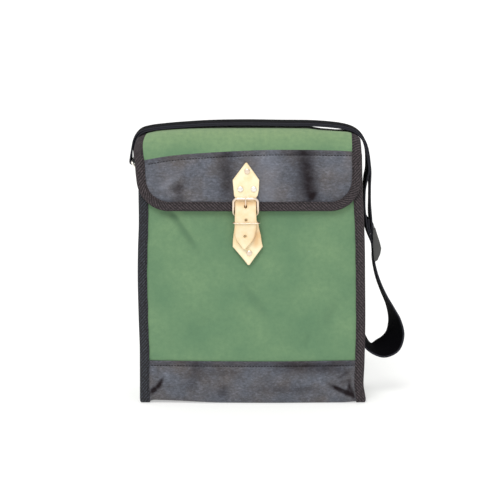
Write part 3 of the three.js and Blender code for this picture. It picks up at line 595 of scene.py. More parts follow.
@dataclass(frozen=True)
class DuckCanvas:
    """Cotton duck, plain woven and piece dyed: matt, with a fine grid of threads and faintly cloudy dye."""

    dye: str = "#628463"
    pale: str = "#74936d"
    deep: str = "#55765a"
    # Paler, yellower colour painted on the top of the bag as painted light, between the two heights below.
    top_light: str = "#889f72"
    # Colour of the painted shade in the canvas's creases.
    crease: str = "#3c5a45"
    thread: float = 1.3  # twice the real thread, which is too fine to show
    cloud: float = 60.0
    fleck: float = 6.0
    top_light_from: float = 305.0
    top_light_to: float = 328.0

    def material(self) -> Material:
        """Make the finish.

        Returns:
            The material.
        """
        made = Finish(
            "cotton duck", Roughness=0.9, Specular_IOR_Level=0.25, Sheen_Weight=0.12, Sheen_Roughness=0.5
        )
        cut = made.cut()
        cloudy = made.ranged(made.noise(cut, self.cloud, 2.0), 0.35, 0.68)
        flecked = made.ranged(made.noise(cut, self.fleck, 4.0, 0.7), 0.3, 0.7, 0.0, 0.45)
        base = made.blend(cloudy, linear(self.dye), linear(self.pale))
        # Painted light: the canvas turns towards the paler colour from 305 to 328 mm up, on the top of the
        # bag that faces the light.
        height = made.node("ShaderNodeSeparateXYZ", {0: made.place()}), 2
        top_lit_share = made.ranged(height, self.top_light_from * MM, self.top_light_to * MM, 0.0, 0.75)
        top_lit = made.blend(top_lit_share, base, linear(self.top_light))
        # The crease attribute paints shade into the creases, towards the crease colour, and painted light on
        # the pale band beside them where it is below 0.
        shade = made.mark("crease")
        crease_lit = made.blend(made.ranged(shade, 0.0, -1.0), top_lit, linear(self.pale))
        crease_shaded = made.blend(made.ranged(shade, 0.0, 1.0), crease_lit, linear(self.crease))
        toned = made.blend(flecked, crease_shaded, linear(self.deep))
        weave = made.math("MULTIPLY", made.bands(cut, self.thread, "X"), made.bands(cut, self.thread, "Y"))
        made.feed("Base Color", made.blend(1.0, toned, made.ranged(weave, 0.0, 1.0, 0.9, 1.1), "MULTIPLY"))
        made.bump(weave, 0.5, 0.25)
        return made.material


@dataclass(frozen=True)
class Leathercloth:
    """Vinyl on a cloth back, embossed with a hide grain: a soft sheen broken by pores and fine crinkles."""

    cool: str = "#515560"
    warm: str = "#565152"
    # Glint is the colour of painted highlights and sheen, pit of painted shade in the grain, crease of
    # painted shade.
    glint: str = "#858996"
    pit: str = "#2d2b2f"
    crease: str = "#1b1417"
    grain: float = 2.2
    crinkle: float = 5.0
    fray: float = 7.0
    crumple: float = 15.0
    patch: float = 36.0
    slant: float = 8.0
    stretch: float = 0.6

    def material(self) -> Material:
        """Make the finish.

        Returns:
            The material.
        """
        made = Finish("leathercloth")
        cut = made.cut()
        drawn = made.turned(cut, self.slant, self.stretch)
        patch = made.noise(cut, self.patch, 3.0)
        folds = made.math("SUBTRACT", made.noise(drawn, self.crinkle, 3.0, 0.6), 0.5)
        lines = made.ranged(made.math("ABSOLUTE", folds), 0.0, 0.12)
        hide = made.ranged(made.cells(cut, self.grain), 0.0, 0.3)
        crumple = made.noise(cut, self.crumple, 3.0, 0.55)
        relief = made.math("MULTIPLY_ADD", lines, 1.3, made.math("MULTIPLY_ADD", crumple, 7.0, hide))
        made.bump(relief, 0.8, 0.2)
        tone = made.blend(made.ranged(patch, 0.4, 0.66), linear(self.cool), linear(self.warm))
        # Speckled painted highlights and painted shade: pale glint specks and dark pits in the grain.
        speckle = made.noise(drawn, self.grain, 3.0, 0.65)
        bright = made.blend(made.ranged(speckle, 0.5, 0.72, 0.0, 0.34), tone, linear(self.glint))
        pitted = made.blend(made.ranged(speckle, 0.46, 0.28, 0.0, 0.55), bright, linear(self.pit))
        # Painted shading on the relief: lighter on the raised crumples, darker along the crinkle lines that
        # the bump also uses.
        painted_light = made.blend(1.0, pitted, made.ranged(crumple, 0.3, 0.7, 0.8, 1.2), "MULTIPLY")
        lined = made.blend(1.0, painted_light, made.ranged(lines, 0.0, 1.0, 0.72, 1.06), "MULTIPLY")
        # The crease attribute paints shade towards the crease colour, with less specular there, and painted
        # sheen towards the glint colour where it is below 0; noise frays its edges.
        ragged = made.ranged(made.noise(drawn, self.fray, 3.0, 0.6), 0.3, 0.7, 0.88, 1.12)
        shade = made.math("MULTIPLY", made.mark("crease"), ragged)
        sheen = made.blend(made.ranged(shade, 0.0, -1.0), lined, linear(self.glint))
        made.feed("Base Color", made.blend(made.ranged(shade, 0.0, 1.0), sheen, linear(self.crease)))
        made.feed("Specular IOR Level", made.ranged(shade, 0.1, 0.9, 0.55, 0.08))
        made.feed("Roughness", made.ranged(patch, 0.3, 0.7, 0.36, 0.54))
        return made.material


@dataclass(frozen=True)
class TwillTape:
    """Polyester binding tape in a coarse twill: slanting ribs that catch a little light."""

    name: str = "twill tape"
    rib: str = "#564c4f"
    valley: str = "#161315"
    pitch: float = 2.6
    fleck: float = 2.4
    slant: float = 52.0

    def material(self) -> Material:
        """Make the finish.

        Returns:
            The material.
        """
        made = Finish(self.name, Roughness=0.78, Specular_IOR_Level=0.3)
        cut = made.cut()
        turned = made.turned(cut, self.slant)
        ribs = made.bands(turned, self.pitch, "X", 0.8, 2.0)
        picks = made.bands(turned, 0.6 * self.pitch, "Y")
        speck = made.ranged(made.noise(cut, self.fleck, 4.0, 0.7), 0.35, 0.65, 0.15, 1.0)
        share = made.math("MULTIPLY", made.math("MULTIPLY_ADD", picks, 0.4, ribs), speck)
        colour = made.blend(made.ranged(share, 0.1, 1.1), linear(self.valley), linear(self.rib))
        made.feed("Base Color", colour)
        made.bump(share, 0.8, 0.35)
        return made.material


@dataclass(frozen=True)
class NaturalLeather:
    """Vegetable-tanned cowhide left undyed: pale and smooth, with fine pores and browned edges."""

    grain: str = "#f1e7c5"
    tan: str = "#ebd4a2"
    edge: str = "#cf9d62"
    pore: float = 0.9
    cloud: float = 11.0

    def material(self) -> Material:
        """Make the finish.

        Returns:
            The material.
        """
        made = Finish("undyed leather", Roughness=0.55)
        cut = made.cut()
        share = made.ranged(made.noise(cut, self.cloud, 4.0), 0.4, 0.75)
        tone = made.blend(share, linear(self.grain), linear(self.tan))
        # The edge attribute browns the rubbed edges, and also carries a darker tan band and painted shadows
        # on the closure.
        made.feed("Base Color", made.blend(made.mark("edge"), tone, linear(self.edge)))
        made.bump(made.noise(cut, self.pore, 3.0), 0.35, 0.12)
        return made.material


@dataclass(frozen=True)
class NickelPlate:
    """Nickel plated on steel wire: bright, faintly warm, with the small waves of drawn wire."""

    name: str = "nickel plate"
    plate: str = "#f2ede5"
    wave: float = 2.4

    def material(self) -> Material:
        """Make the finish.

        Returns:
            The material.
        """
        made = Finish(self.name, Metallic=1.0, Base_Color=linear(self.plate))
        ripple = made.noise(made.place(), self.wave, 3.0)
        made.feed("Roughness", made.ranged(ripple, 0.0, 1.0, 0.28, 0.5))
        made.bump(ripple, 0.2, 0.15)
        return made.material


@dataclass(frozen=True)
class StrapWebbing:
    """Black woven webbing: ribs along its length, crossed by close picks."""

    yarn: str = "#0b0a10"
    gap: str = "#030305"
    fuzz_and_sheen: str = "#303036"
    width: float = 38.0
    rib: float = 2.4
    pick: float = 1.6
    rim: Pair = (1.6, 0.2)

    def material(self) -> Material:
        """Make the finish.

        Returns:
            The material.
        """
        made = Finish("black webbing", Roughness=0.9, Specular_IOR_Level=0.06)
        cut = made.cut()
        height = made.math("MULTIPLY", made.bands(cut, self.rib, "X"), made.bands(cut, self.pick, "Y"))
        woven = made.blend(height, linear(self.gap), linear(self.yarn))
        # Lighter rims along both edges of the webbing: partly the fuzz of its edges, partly painted sheen.
        half = 0.5 * self.width * MM
        middle = made.math("SUBTRACT", (made.node("ShaderNodeSeparateXYZ", {0: cut}), 0), half)
        starts, full = (half - inset * MM for inset in self.rim)
        painted_light = made.ranged(made.math("ABSOLUTE", middle), starts, full)
        made.feed("Base Color", made.blend(painted_light, woven, linear(self.fuzz_and_sheen)))
        made.bump(height, 0.7, 0.3)
        return made.material


@dataclass(frozen=True)
class MouldedPlastic:
    """Acetal moulded in a spark-eroded tool: dark grey, with a fine even stipple."""

    tint: str = "#363635"
    rubbed: str = "#474745"
    stipple: float = 0.7
    cloud: float = 6.0

    def material(self) -> Material:
        """Make the finish.

        Returns:
            The material.
        """
        made = Finish("moulded acetal", Roughness=0.46)
        place = made.place()
        cloudy = made.noise(place, self.cloud, 3.0)
        made.feed("Base Color", made.blend(cloudy, linear(self.tint), linear(self.rubbed)))
        made.bump(made.noise(place, self.stipple), 0.3, 0.1)
        return made.material


@dataclass(frozen=True)
class SewingThread:
    """Bonded polyester thread: near black, with a slight lustre along each stitch."""

    light: str = "#19181b"
    dark: str = "#08080a"
    ply: float = 0.8

    def material(self) -> Material:
        """Make the finish.

        Returns:
            The material.
        """
        made = Finish("bonded thread", Roughness=0.7, Specular_IOR_Level=0.2)
        twist = made.noise(made.place(), self.ply)
        made.feed("Base Color", made.blend(twist, linear(self.dark), linear(self.light)))
        return made.material


# The bag's surfaces


@dataclass(frozen=True)
class BagShape:
    """Outer cloth faces of the body and of the flap."""

    depth: float = 90.0
    mouth: float = 306.0
    front_lean: float = 5.0
    back_lean: float = 9.0
    foot_radius: float = 4.2
    foot_level: float = 4.0
    base_top: float = 53.0
    tape_top: float = 303.0
    edge_inset: float = 1.9
    seam_width: float = 13.0
    gusset_inset: float = 13.2
    back_bend: float = 22.0
    front_bend: float = 24.2
    back_bend_z: float = 308.0
    front_bend_z: float = 306.0
    flap_stand: float = 4.6
    flap_foot: float = 235.5
    flap_corner: float = 36.0
    flap_swell: float = 2.0
    seam_z: float = 307.6
    left_edge: Curve = Curve((
        (0, -136.5), (10, -136.5), (22, -136.4), (45, -136.3), (70, -136.3), (105, -137.2),
        (155, -137.9), (190, -137.2), (220, -136.0), (260, -136.0), (306, -135.4),
    ))
    right_edge: Curve = Curve((
        (0, 138.0), (10, 136.7), (22, 134.7), (45, 135.4), (70, 135.9), (105, 136.1), (155, 135.3),
        (190, 134.7), (220, 133.5), (260, 131.4), (306, 130.1),
    ))
    front_swell: Curve = Curve(
        ((0, 2.0), (20, 4.0), (60, 5.5), (120, 6.5), (170, 4.6), (200, 3.0), (235, 1.4), (306, 0.3))
    )
    back_swell: Curve = Curve(
        ((0, 1.0), (20, 2.0), (60, 3.5), (120, 4.5), (170, 4.2), (200, 3.2), (235, 1.8), (306, 0.2))
    )
    gusset_bow: Curve = Curve(((0, 0), (150, 2.0), (306, 3.5)))
    flap_left: Curve = Curve((
        (0, -135.2), (34, -136), (69, -137.8), (90, -141), (107, -140.8), (117, -139.7), (123, -139.4),
        (133, -138.8), (145, -137.6), (178, -135.6),
    ))
    flap_right: Curve = Curve((
        (0, 129), (34, 128), (69, 128.6), (90, 129.2), (107, 129.4), (117, 129.6), (123, 129.7),
        (133, 129.4), (145, 129), (178, 128.6),
    ))
    flap_droop: Curve = Curve((
        (-141, 14.5), (-136, 10.6), (-125, 5.7), (-108, 2.5), (-60, 0), (60, 0), (100, 1.4), (114, 3.3),
        (122, 6.2), (130, 11.2),
    ))
    top_sag: Curve = Curve(((66, 0), (82, 2.3), (94, 2.8), (103, 2.9), (113, 1.5), (122, 1.1), (130, 2)))
    seam_drop: Curve = Curve(((-136, 12.5), (-100, 6.1), (-57, 2.5), (-7, 0), (30, -1.0), (126, -0.5)))
    front_folds: tuple[Fold, ...] = named(
        Fold,
        (-83, 215, -56, 86, 5, 2.6), (-100, 232, -20, 30, 7, 1.2), (6, 128, -51, 66, 8, 1.7),
        (98, 111, 57, 46, 7, 1.5), (66, 78, 70, 28, 4, 0.9), (-60, 96, 40, 50, 9, 0.8),
        (109, 15.5, -26, 36, 2.4, 2.0), (-111.6, 24.5, 63, 24, 2.6, 1.7), (-119.5, 16, 20, 9, 3, 1.2),
        (116.5, 20, 80, 28, 2.2, 1.2), (110, 35, 35, 22, 2, 0.9), (112, 27, 18, 20, 1.8, 0.8),
    )
    flap_folds: tuple[Fold, ...] = named(
        Fold,
        (67, 272, 97, 90, 11, 1.6), (72, 254, 50, 20, 3, 1.0), (-90, 263, 60, 20, 7, 1.8),
        (-30, 276, 88, 60, 9, 0.9),
    )
    # Bands of painted shade on the vinyl foot; a negative depth gives painted sheen.
    base_shades: tuple[Fold, ...] = named(
        Fold,
        (-70, 37, 75, 56, 8, 0.32), (-40, 40, 0, 90, 6, 0.2), (-36, 16, 80, 26, 6, 0.4),
        (74, 44, -2, 125, 6.5, 0.5), (48, 18, 0, 120, 5, 0.25), (105, 17, -29, 52, 3, 0.38),
        (121, 13, -70, 28, 2.5, 0.65), (80, 24, -30, 60, 10, -0.15), (-116, 21, 48, 30, 3, 0.34),
        (-122, 14, 40, 18, 3, 0.5), (-10, 28, 20, 60, 10, -0.15), (-104, 34, 70, 30, 6, -0.2),
    )
    # Bands of painted shade on the flap's vinyl; a negative depth gives painted sheen.
    flap_shades: tuple[Fold, ...] = named(
        Fold,
        (-31, 272, 92, 150, 13, 0.4), (66, 272, 97, 150, 13.5, 0.4), (50, 270, 94, 150, 17, 0.19),
        (-85, 261, 76, 62, 6, 0.26), (-98, 270, 31, 44, 5, -0.3), (18, 272, 90, 150, 15, -0.28),
        (98, 286, 0, 60, 10, -0.08), (100, 250, 20, 60, 9, 0.3), (-96, 248, 12, 50, 4, 0.3),
    )

    @property
    def heel_z(self) -> float:
        """Height where the front turns under, away from the corners."""
        return VINYL + GAP + self.foot_radius

    @property
    def back_top_y(self) -> float:
        """Where the back turns over to the top."""
        return 0.5 * self.depth - self.back_lean * self.back_bend_z / self.mouth

    @property
    def front_top_y(self) -> float:
        """Where the top turns down to the flap's front."""
        return float(self.front_plane(self.front_bend_z)) - self.flap_stand

    @property
    def run_back(self) -> float:
        """Distance over the back bend."""
        return 0.5 * math.pi * self.back_bend

    @property
    def run_top(self) -> float:
        """Distance to the end of the flat top."""
        return self.run_back + (self.back_top_y - self.back_bend) - (self.front_top_y + self.front_bend)

    @property
    def run_front(self) -> float:
        """Distance to the end of the front bend."""
        return self.run_top + 0.5 * math.pi * self.front_bend

    @property
    def run_end(self) -> float:
        """Distance to the flap's cut edge."""
        return self.run_front + self.front_bend_z - self.flap_foot - self.edge_inset

    @property
    def run_corner(self) -> float:
        """Distance to the start of the flap's round corners."""
        return self.run_end - self.flap_corner + self.edge_inset

    def front_plane(self, z: Array) -> Array:
        """Give y of the plain leaning front."""
        return -0.5 * self.depth + self.front_lean * z / self.mouth

    def edge(self, side: Side, z: Array) -> Array:
        """Give x of a side's bound edge."""
        return self.left_edge(z) if side is Side.LEFT else self.right_edge(z)

    def across(self, x: Array, z: Array) -> Array:
        """Share the width between the bindings from -1 to 1."""
        left, right = self.left_edge(z) + self.seam_width, self.right_edge(z) - self.seam_width
        return np.clip((2.0 * x - left - right) / (right - left), -1.0, 1.0)

    def relief(self, x: Array, z: Array) -> Array:
        """Give the small gathers along the seams and the soft waves of standing cloth.

        Args:
            x: Places across.
            z: Heights.

        Returns:
            Distances outwards.
        """
        t = self.across(x, z)
        left = x - self.left_edge(z) - self.seam_width
        right = self.right_edge(z) - self.seam_width - x
        gathers = np.sin(z / 2.7 + 2.0 * np.sin(z / 23.0)) * np.exp(-np.maximum(left, 0.0) / 10.0)
        gathers += np.sin(z / 3.1 + 1.7 * np.sin(z / 19.0)) * np.exp(-np.maximum(right, 0.0) / 10.0)
        waves = np.sin(x / 37.0 + z / 61.0) * np.sin(z / 53.0 - x / 71.0 + 1.1)
        waves += 0.45 * np.sin(x / 17.0 - z / 29.0 + 0.6) * np.sin(z / 21.0 + x / 47.0)
        tab = np.exp(-(((x + 6.0) / 34.0) ** 2) - ((z - 200.0) / 46.0) ** 2)
        return (0.24 * gathers + 0.5 * waves * (1.0 - tab)) * (1.0 - t**8)

    def front(self, x: Array, z: Array, creased: bool) -> Array:
        """Give y of the front's cloth face.

        Args:
            x: Places across.
            z: Heights.
            creased: Whether the creases and gathers show.

        Returns:
            The face's y.
        """
        t = self.across(x, z)
        plain = self.front_plane(z) - self.front_swell(z) * (1.0 - t * t)
        if not creased:
            return plain
        return plain + pressed(self.front_folds, x, z) * (1.0 - t**16) - self.relief(x, z)

    def back(self, x: Array, z: Array, creased: bool) -> Array:
        """Give y of the back's cloth face.

        Args:
            x: Places across.
            z: Heights.
            creased: Whether the gathers show.

        Returns:
            The face's y.
        """
        t = self.across(x, z)
        plain = 0.5 * self.depth - self.back_lean * z / self.mouth + self.back_swell(z) * (1.0 - t * t)
        return plain + self.relief(-x, z) if creased else plain

    def foot_lift(self, x: Array) -> Array:
        """Give how far the foot curls up towards its corners.

        Args:
            x: Places across.

        Returns:
            Distances upwards.
        """
        left, right = x - self.left_edge(0.0), self.right_edge(0.0) - x
        rise = (1.3 + 1.6 * smooth(left, 10.0, 17.0)) * (1.0 - smooth(left, 17.0, 105.0))
        return np.where(x < 0.0, rise, 1.3 * (1.0 - smooth(right, 8.0, 30.0)))

    def heel(self, x: Array) -> Array:
        """Give the height where the front turns under."""
        return self.foot_lift(x) + self.heel_z

    def leg_at(self, x: Array, z: Array) -> Array:
        """Give the front leg's share at a height."""
        return (self.mouth - z) / (self.mouth - self.heel(x))

    def shell(self, x: Array, leg: Array, creased: bool = True) -> Array:
        """Give points on the body's cloth face.

        Args:
            x: Places across.
            leg: 0 to 1 down the front, 1 to 2 round the front heel, 2 to 3 under the bag, 3 to 4 round the
                back heel and 4 to 5 up the back.
            creased: Whether the creases and gathers show.

        Returns:
            The points.
        """
        heel = self.heel(x)
        radius = self.foot_radius
        front_z = lerp(self.mouth, heel, np.clip(leg, 0.0, 1.0))
        back_z = lerp(heel, self.mouth, np.clip(leg - 4.0, 0.0, 1.0))
        near = self.front(x, heel, creased) + radius
        far = self.back(x, heel, creased) - radius
        under = 0.5 * math.pi * np.clip(leg - 1.0, 0.0, 1.0)
        rise = 0.5 * math.pi * np.clip(4.0 - leg, 0.0, 1.0)
        parts = [leg <= 1.0, leg < 2.0, leg <= 3.0, leg < 4.0]
        faces = (
            (self.front(x, front_z, creased), front_z),
            (near - radius * np.cos(under), heel - radius * np.sin(under)),
            (lerp(near, far, leg - 2.0), heel - radius),
            (far + radius * np.cos(rise), heel - radius * np.sin(rise)),
            (self.back(x, back_z, creased), back_z),
        )
        y, z = (np.select(parts, face[:-1], face[-1]) for face in zip(*faces))
        return spots(x, y, z)

    def on_shell(self, x: Array, leg: Array, out: Array) -> Array:
        """Stand off the body by a distance."""
        return on_surface(self.shell, x, leg, 0.5, 0.004, out)

    def flap_profile(self, run: Array) -> Arrays:
        """Give the flap's middle section.

        Args:
            run: Distances run from the back bend.

        Returns:
            The section's y and z.
        """
        back_z = self.back_bend_z + run
        turn = run / self.back_bend
        share = (run - self.run_back) / (self.run_top - self.run_back)
        dip = (run - self.run_top) / self.front_bend
        front_z = self.front_bend_z - (run - self.run_front)
        start, end = self.back_top_y - self.back_bend, self.front_top_y + self.front_bend
        parts = [run < 0.0, run < self.run_back, run < self.run_top, run < self.run_front]
        top_z = lerp(self.back_bend_z + self.back_bend, self.front_bend_z + self.front_bend, share)
        faces = (
            (0.5 * self.depth - self.back_lean * back_z / self.mouth, back_z),
            (start + self.back_bend * np.cos(turn), self.back_bend_z + self.back_bend * np.sin(turn)),
            (lerp(start, end, share), top_z),
            (end - self.front_bend * np.sin(dip), self.front_bend_z + self.front_bend * np.cos(dip)),
            (self.front_plane(front_z) - self.flap_stand, front_z),
        )
        return tuple(np.select(parts, face[:-1], face[-1]) for face in zip(*faces))

    def flap_relief(self, x: Array, z: Array) -> Array:
        """Give the flap's small puckers.

        Args:
            x: Places across.
            z: Heights.

        Returns:
            Distances inwards.
        """
        left = x - self.flap_left(160.0) - 11.0
        right = self.flap_right(160.0) - 11.0 - x
        foot = z - self.flap_foot - 11.0
        near = np.exp(-np.maximum(np.minimum(np.minimum(left, right), foot), 0.0) / 8.0)
        gathers = 0.5 + 0.5 * np.sin(x / 2.6 + z / 4.4 + 2.2 * np.sin(x / 21.0))
        waves = np.sin(x / 19.0 + 0.9) * np.sin(z / 16.0 - x / 43.0)
        strap = np.exp(-(((x + 8.0) / 20.0) ** 2))
        return (0.4 * gathers * near + 0.35 * (1.0 + waves)) * (1.0 - 0.7 * strap)

    def flap(self, x: Array, run: Array, creased: bool = True) -> Array:
        """Give points on the flap's cloth face.

        Args:
            x: Places across.
            run: Distances run from the back bend.
            creased: Whether the creases and puckers show.

        Returns:
            The points.
        """
        y, z = self.flap_profile(run)
        t = self.across(x, np.minimum(z, self.mouth))
        swell = self.flap_swell * (1.0 - t * t) * smooth(run, self.run_front - 8.0, self.run_front + 18.0)
        if creased:
            dents = pressed(self.flap_folds, x, z) + self.flap_relief(x, z)
            swell = swell - dents * smooth(run, self.run_front - 20.0, self.run_front)
        low = np.where(run < self.run_top, 298.0, 295.0)
        sag = self.top_sag(x) * smooth(self.run_top + 12.0 - run, 0.0, 22.0)
        droop = (self.flap_droop(x) + sag) * smooth(z, low, 328.0)
        return spots(x, y - swell, z - droop)

    def on_flap(self, x: Array, run: Array, out: Array) -> Array:
        """Stand off the flap by a distance."""
        return on_surface(self.flap, x, run, 0.5, 0.5, out)

    def flap_side(self, side: Side, run: Array) -> Array:
        """Give x of the flap's cut edge, round its corner too.

        Args:
            side: The edge's side.
            run: Distances run from the back bend.

        Returns:
            The edge's x.
        """
        radius = self.flap_corner - self.edge_inset
        past = np.clip(run - self.run_corner, 0.0, radius)
        inset = self.edge_inset + radius - np.sqrt(radius * radius - past * past)
        return self.flap_left(run) + inset if side is Side.LEFT else self.flap_right(run) - inset

    def seam_run(self, x: Array) -> Array:
        """Give the distance run at the upper edge of the flap's vinyl."""
        return self.run_front + self.front_bend_z - self.seam_z + self.seam_drop(x)

    def flap_between(self, share: Array, run: Array) -> Array:
        """Give x at a share of the flap's width."""
        return lerp(self.flap_side(Side.LEFT, run), self.flap_side(Side.RIGHT, run), share)

    def body_between(self, share: Array, z: Array) -> Array:
        """Give x at a share of the body's width, from cut edge to cut edge."""
        return lerp(self.left_edge(z) + self.edge_inset, self.right_edge(z) - self.edge_inset, share)

    def gusset_wall(self, side: Side, z: Array, y: Array) -> Array:
        """Give x of a gusset's outer face."""
        bow = self.gusset_bow(z) * (1.0 - np.minimum((y / 38.0) ** 2, 1.0))
        return self.edge(side, z) - side.value * (self.gusset_inset + bow)


@dataclass(frozen=True)
class FootStrip:
    """Where a strip lies that runs down the front, under the foot and up the back."""

    shape: BagShape
    top: float
    leg: float
    bottom: float

    @property
    def turns(self) -> Array:
        """Distances run where it starts, turns and ends."""
        corner = 0.5 * math.pi * self.shape.foot_radius
        return np.cumsum([0.0, self.leg, corner, self.bottom, corner, self.leg])

    def height(self, run: Array) -> Array:
        """Give heights, with one level for all that lies under the foot.

        Args:
            run: Distances along it.

        Returns:
            The heights.
        """
        turns = self.turns
        down, up = self.top - run, self.top - (turns[-1] - run)
        return np.where(run < turns[1], down, np.where(run > turns[4], up, self.shape.foot_level))

    def legs(self, x: Array, run: Array) -> Array:
        """Give the body's legs along the strip.

        Args:
            x: Places across.
            run: Distances along it.

        Returns:
            Legs as the body's cloth face counts them.
        """
        first = self.shape.leg_at(x, self.top)
        leg = np.interp(run, self.turns, range(6))
        up = lerp(4.0, 5.0 - first, leg - 4.0)
        return np.where(leg < 1.0, lerp(first, 1.0, leg), np.where(leg > 4.0, up, leg))


# Sub-assemblies


@dataclass
class ClothShell:
    """Canvas front, back with flap and gussets, and the vinyl at the foot and on the flap."""

    shape: BagShape
    canvas: Material
    vinyl: Material
    thread: Material
    stitch: Stitch = Stitch()
    cell: float = 2.4
    width: float = 268.0
    front_length: float = 298.0
    back_length: float = 296.0
    back_top: float = 304.0
    bridge: float = 4.0
    base_bottom: float = 81.6
    seam_inset: float = 6.0
    groove: float = 0.4
    groove_width: float = 1.1
    stitch_bed: float = 0.3
    flap_seam: Pair = (-124.0, 117.0)
    base_seam: Pair = (-123.0, 123.0)
    tuck: float = 0.9
    gusset_width: float = 84.0
    gusset_rise: float = 0.6
    gusset_bend: float = 2.6
    gusset_softness: float = 1.1
    canvas_shade: float = 0.22
    canvas_light: float = 0.2
    light_shift: Pair = (5.0, 3.0)
    base_tone: float = 0.13
    base_shade: float = 0.45
    flap_shade: float = 0.25
    hem_shade: float = 0.3
    shade_y: Pair = (20.0, 34.0)

    def build(self) -> None:
        """Build every panel and its sewing."""
        self.front_panel()
        self.back_and_flap()
        self.base()
        self.flap_facing()
        for side in Side:
            self.gusset(side)
        self.seam_stitches()

    def shade_and_light_marks(self, piece: Piece, depths: Array) -> None:
        """Keep each vertex's share of painted shade, or of painted light below 0, in the crease attribute for
        the finish.
        """
        marks = piece.data.attributes.new("crease", "FLOAT", "POINT")
        marks.data.foreach_set("value", np.clip(depths, -1.0, 1.0).astype(np.float32))

    def tucked(self, z: Array) -> Array:
        """Give how far the canvas tucks in behind the vinyl at the foot."""
        return self.tuck * (1.0 - smooth(z, self.shape.base_top - 7.0, self.shape.base_top - 1.0))

    def grooved(self, seam: Array) -> Array:
        """Give the vinyl's stand, drawn in by the stitches at a distance from their line."""
        return GAP + VINYL - self.groove * np.exp(-((seam / self.groove_width) ** 2))

    def hem_marks(self, above: Array) -> Array:
        """Give the shade of the vinyl's hem by the height above its edge."""
        return self.hem_shade * smooth(above, -self.seam_inset - 1.5, -self.seam_inset)

    def front_panel(self) -> None:
        """Build the canvas front, which tucks in behind the vinyl at the foot."""
        shape = self.shape

        def place(across: Array, along: Array) -> Arrays:
            """Place shares of the cloth on the front."""
            z = lerp(shape.mouth, shape.heel_z, along)
            x = shape.body_between(across, z)
            return shape.on_shell(x, along, -self.tucked(z)), beside(x, z)

        columns, rows = round(self.width / self.cell), round(self.front_length / self.cell)
        piece = bent_grid("front_canvas", columns, rows, place, flip=True)
        x, _, z = places_of(piece).T
        # Painted shade in the front's creases, and painted light on a band beside each, offset by
        # light_shift, kept in the crease attribute.
        lit = pressed(shape.front_folds, x - self.light_shift[0], z - self.light_shift[1])
        shaded = pressed(shape.front_folds, x, z)
        self.shade_and_light_marks(piece, self.canvas_shade * shaded - self.canvas_light * lit)
        thicken(piece, CANVAS)
        dress(piece, self.canvas, Slot.CANVAS, "front_panel")

    def back_and_flap(self) -> None:
        """Build the canvas back and the flap, which are one length of cloth."""
        shape = self.shape
        length = self.back_length + self.bridge + shape.run_end

        def place(across: Array, along: Array) -> Arrays:
            """Place shares of the cloth on the back, over the bridge and on the flap."""
            run = along * length
            share = np.clip(run / self.back_length, 0.0, 1.0)
            z = lerp(shape.heel_z, self.back_top, share)
            body_x = shape.body_between(across, z)
            leg = 5.0 - shape.leg_at(body_x, z)
            body = shape.on_shell(body_x, np.maximum(leg, 4.0), -self.tucked(z))
            over = np.maximum(run - self.back_length - self.bridge, 0.0)
            flap_x = shape.flap_between(across, over)
            hidden = 0.5 * smooth(over - shape.seam_run(flap_x), 2.0, 8.0)
            flap = shape.on_flap(flap_x, over, -hidden)
            blend = np.clip((run - self.back_length) / self.bridge, 0.0, 1.0)[:, None]
            flat = beside(lerp(body_x, flap_x, blend[:, 0]), run)
            return lerp(body, flap, blend), flat

        columns, rows = round(self.width / self.cell), round(length / self.cell)
        piece = bent_grid("back_flap_canvas", columns, rows, place)
        thicken(piece, CANVAS)
        dress(piece, self.canvas, Slot.CANVAS, "back_flap_panel")

    def base(self) -> None:
        """Build the vinyl foot, from its seam on the front, under the bag, to its seam on the back."""
        shape = self.shape
        strip = FootStrip(shape, shape.base_top, shape.base_top - shape.heel_z, self.base_bottom)
        turns = strip.turns

        def place(across: Array, along: Array) -> Arrays:
            """Place shares of the vinyl round the foot."""
            run = along * turns[-1]
            x = shape.body_between(across, np.maximum(strip.height(run), shape.foot_level))
            seam = np.minimum(np.abs(run - self.seam_inset), np.abs(turns[-1] - run - self.seam_inset))
            return shape.on_shell(x, strip.legs(x, run), self.grooved(seam)), beside(x, run)

        piece = bent_grid("base_leathercloth", 150, 120, place, flip=True)
        x, y, z = places_of(piece).T
        # Marks on the front of the vinyl foot only: an even darkening, painted shade in the creases and along
        # the listed shade bands, painted sheen where a band's depth is below 0, and the darker hem strip.
        depths = self.base_tone + self.base_shade * pressed(shape.front_folds, x, z)
        depths += pressed(shape.base_shades, x, z) + self.hem_marks(z - shape.base_top)
        self.shade_and_light_marks(piece, depths * smooth(-y, *self.shade_y))
        thicken(piece, VINYL)
        dress(piece, self.vinyl, Slot.VINYL, "base_vinyl")

    def flap_facing(self) -> None:
        """Build the vinyl on the flap's lower part."""
        shape = self.shape

        def place(across: Array, along: Array) -> Arrays:
            """Place shares of the vinyl between its seam and the flap's edge."""
            run = lerp(shape.run_front, shape.run_end, along)
            for _ in range(3):
                x = shape.flap_between(across, run)
                run = lerp(shape.seam_run(x), shape.run_end, along)
            seam = np.abs(run - shape.seam_run(x) - self.seam_inset)
            return shape.on_flap(x, run, self.grooved(seam)), beside(x, -run)

        piece = bent_grid("flap_leathercloth", 176, 48, place, flip=True)
        x, _, z = places_of(piece).T
        # Painted shade in the flap's dents and along the listed shade bands, painted sheen where a band's
        # depth is below 0, and the darker hem strip.
        depths = self.flap_shade * pressed(shape.flap_folds, x, z) + pressed(shape.flap_shades, x, z)
        self.shade_and_light_marks(piece, depths + self.hem_marks(z - shape.seam_z + shape.seam_drop(x)))
        thicken(piece, VINYL)
        dress(piece, self.vinyl, Slot.VINYL, "flap_vinyl")

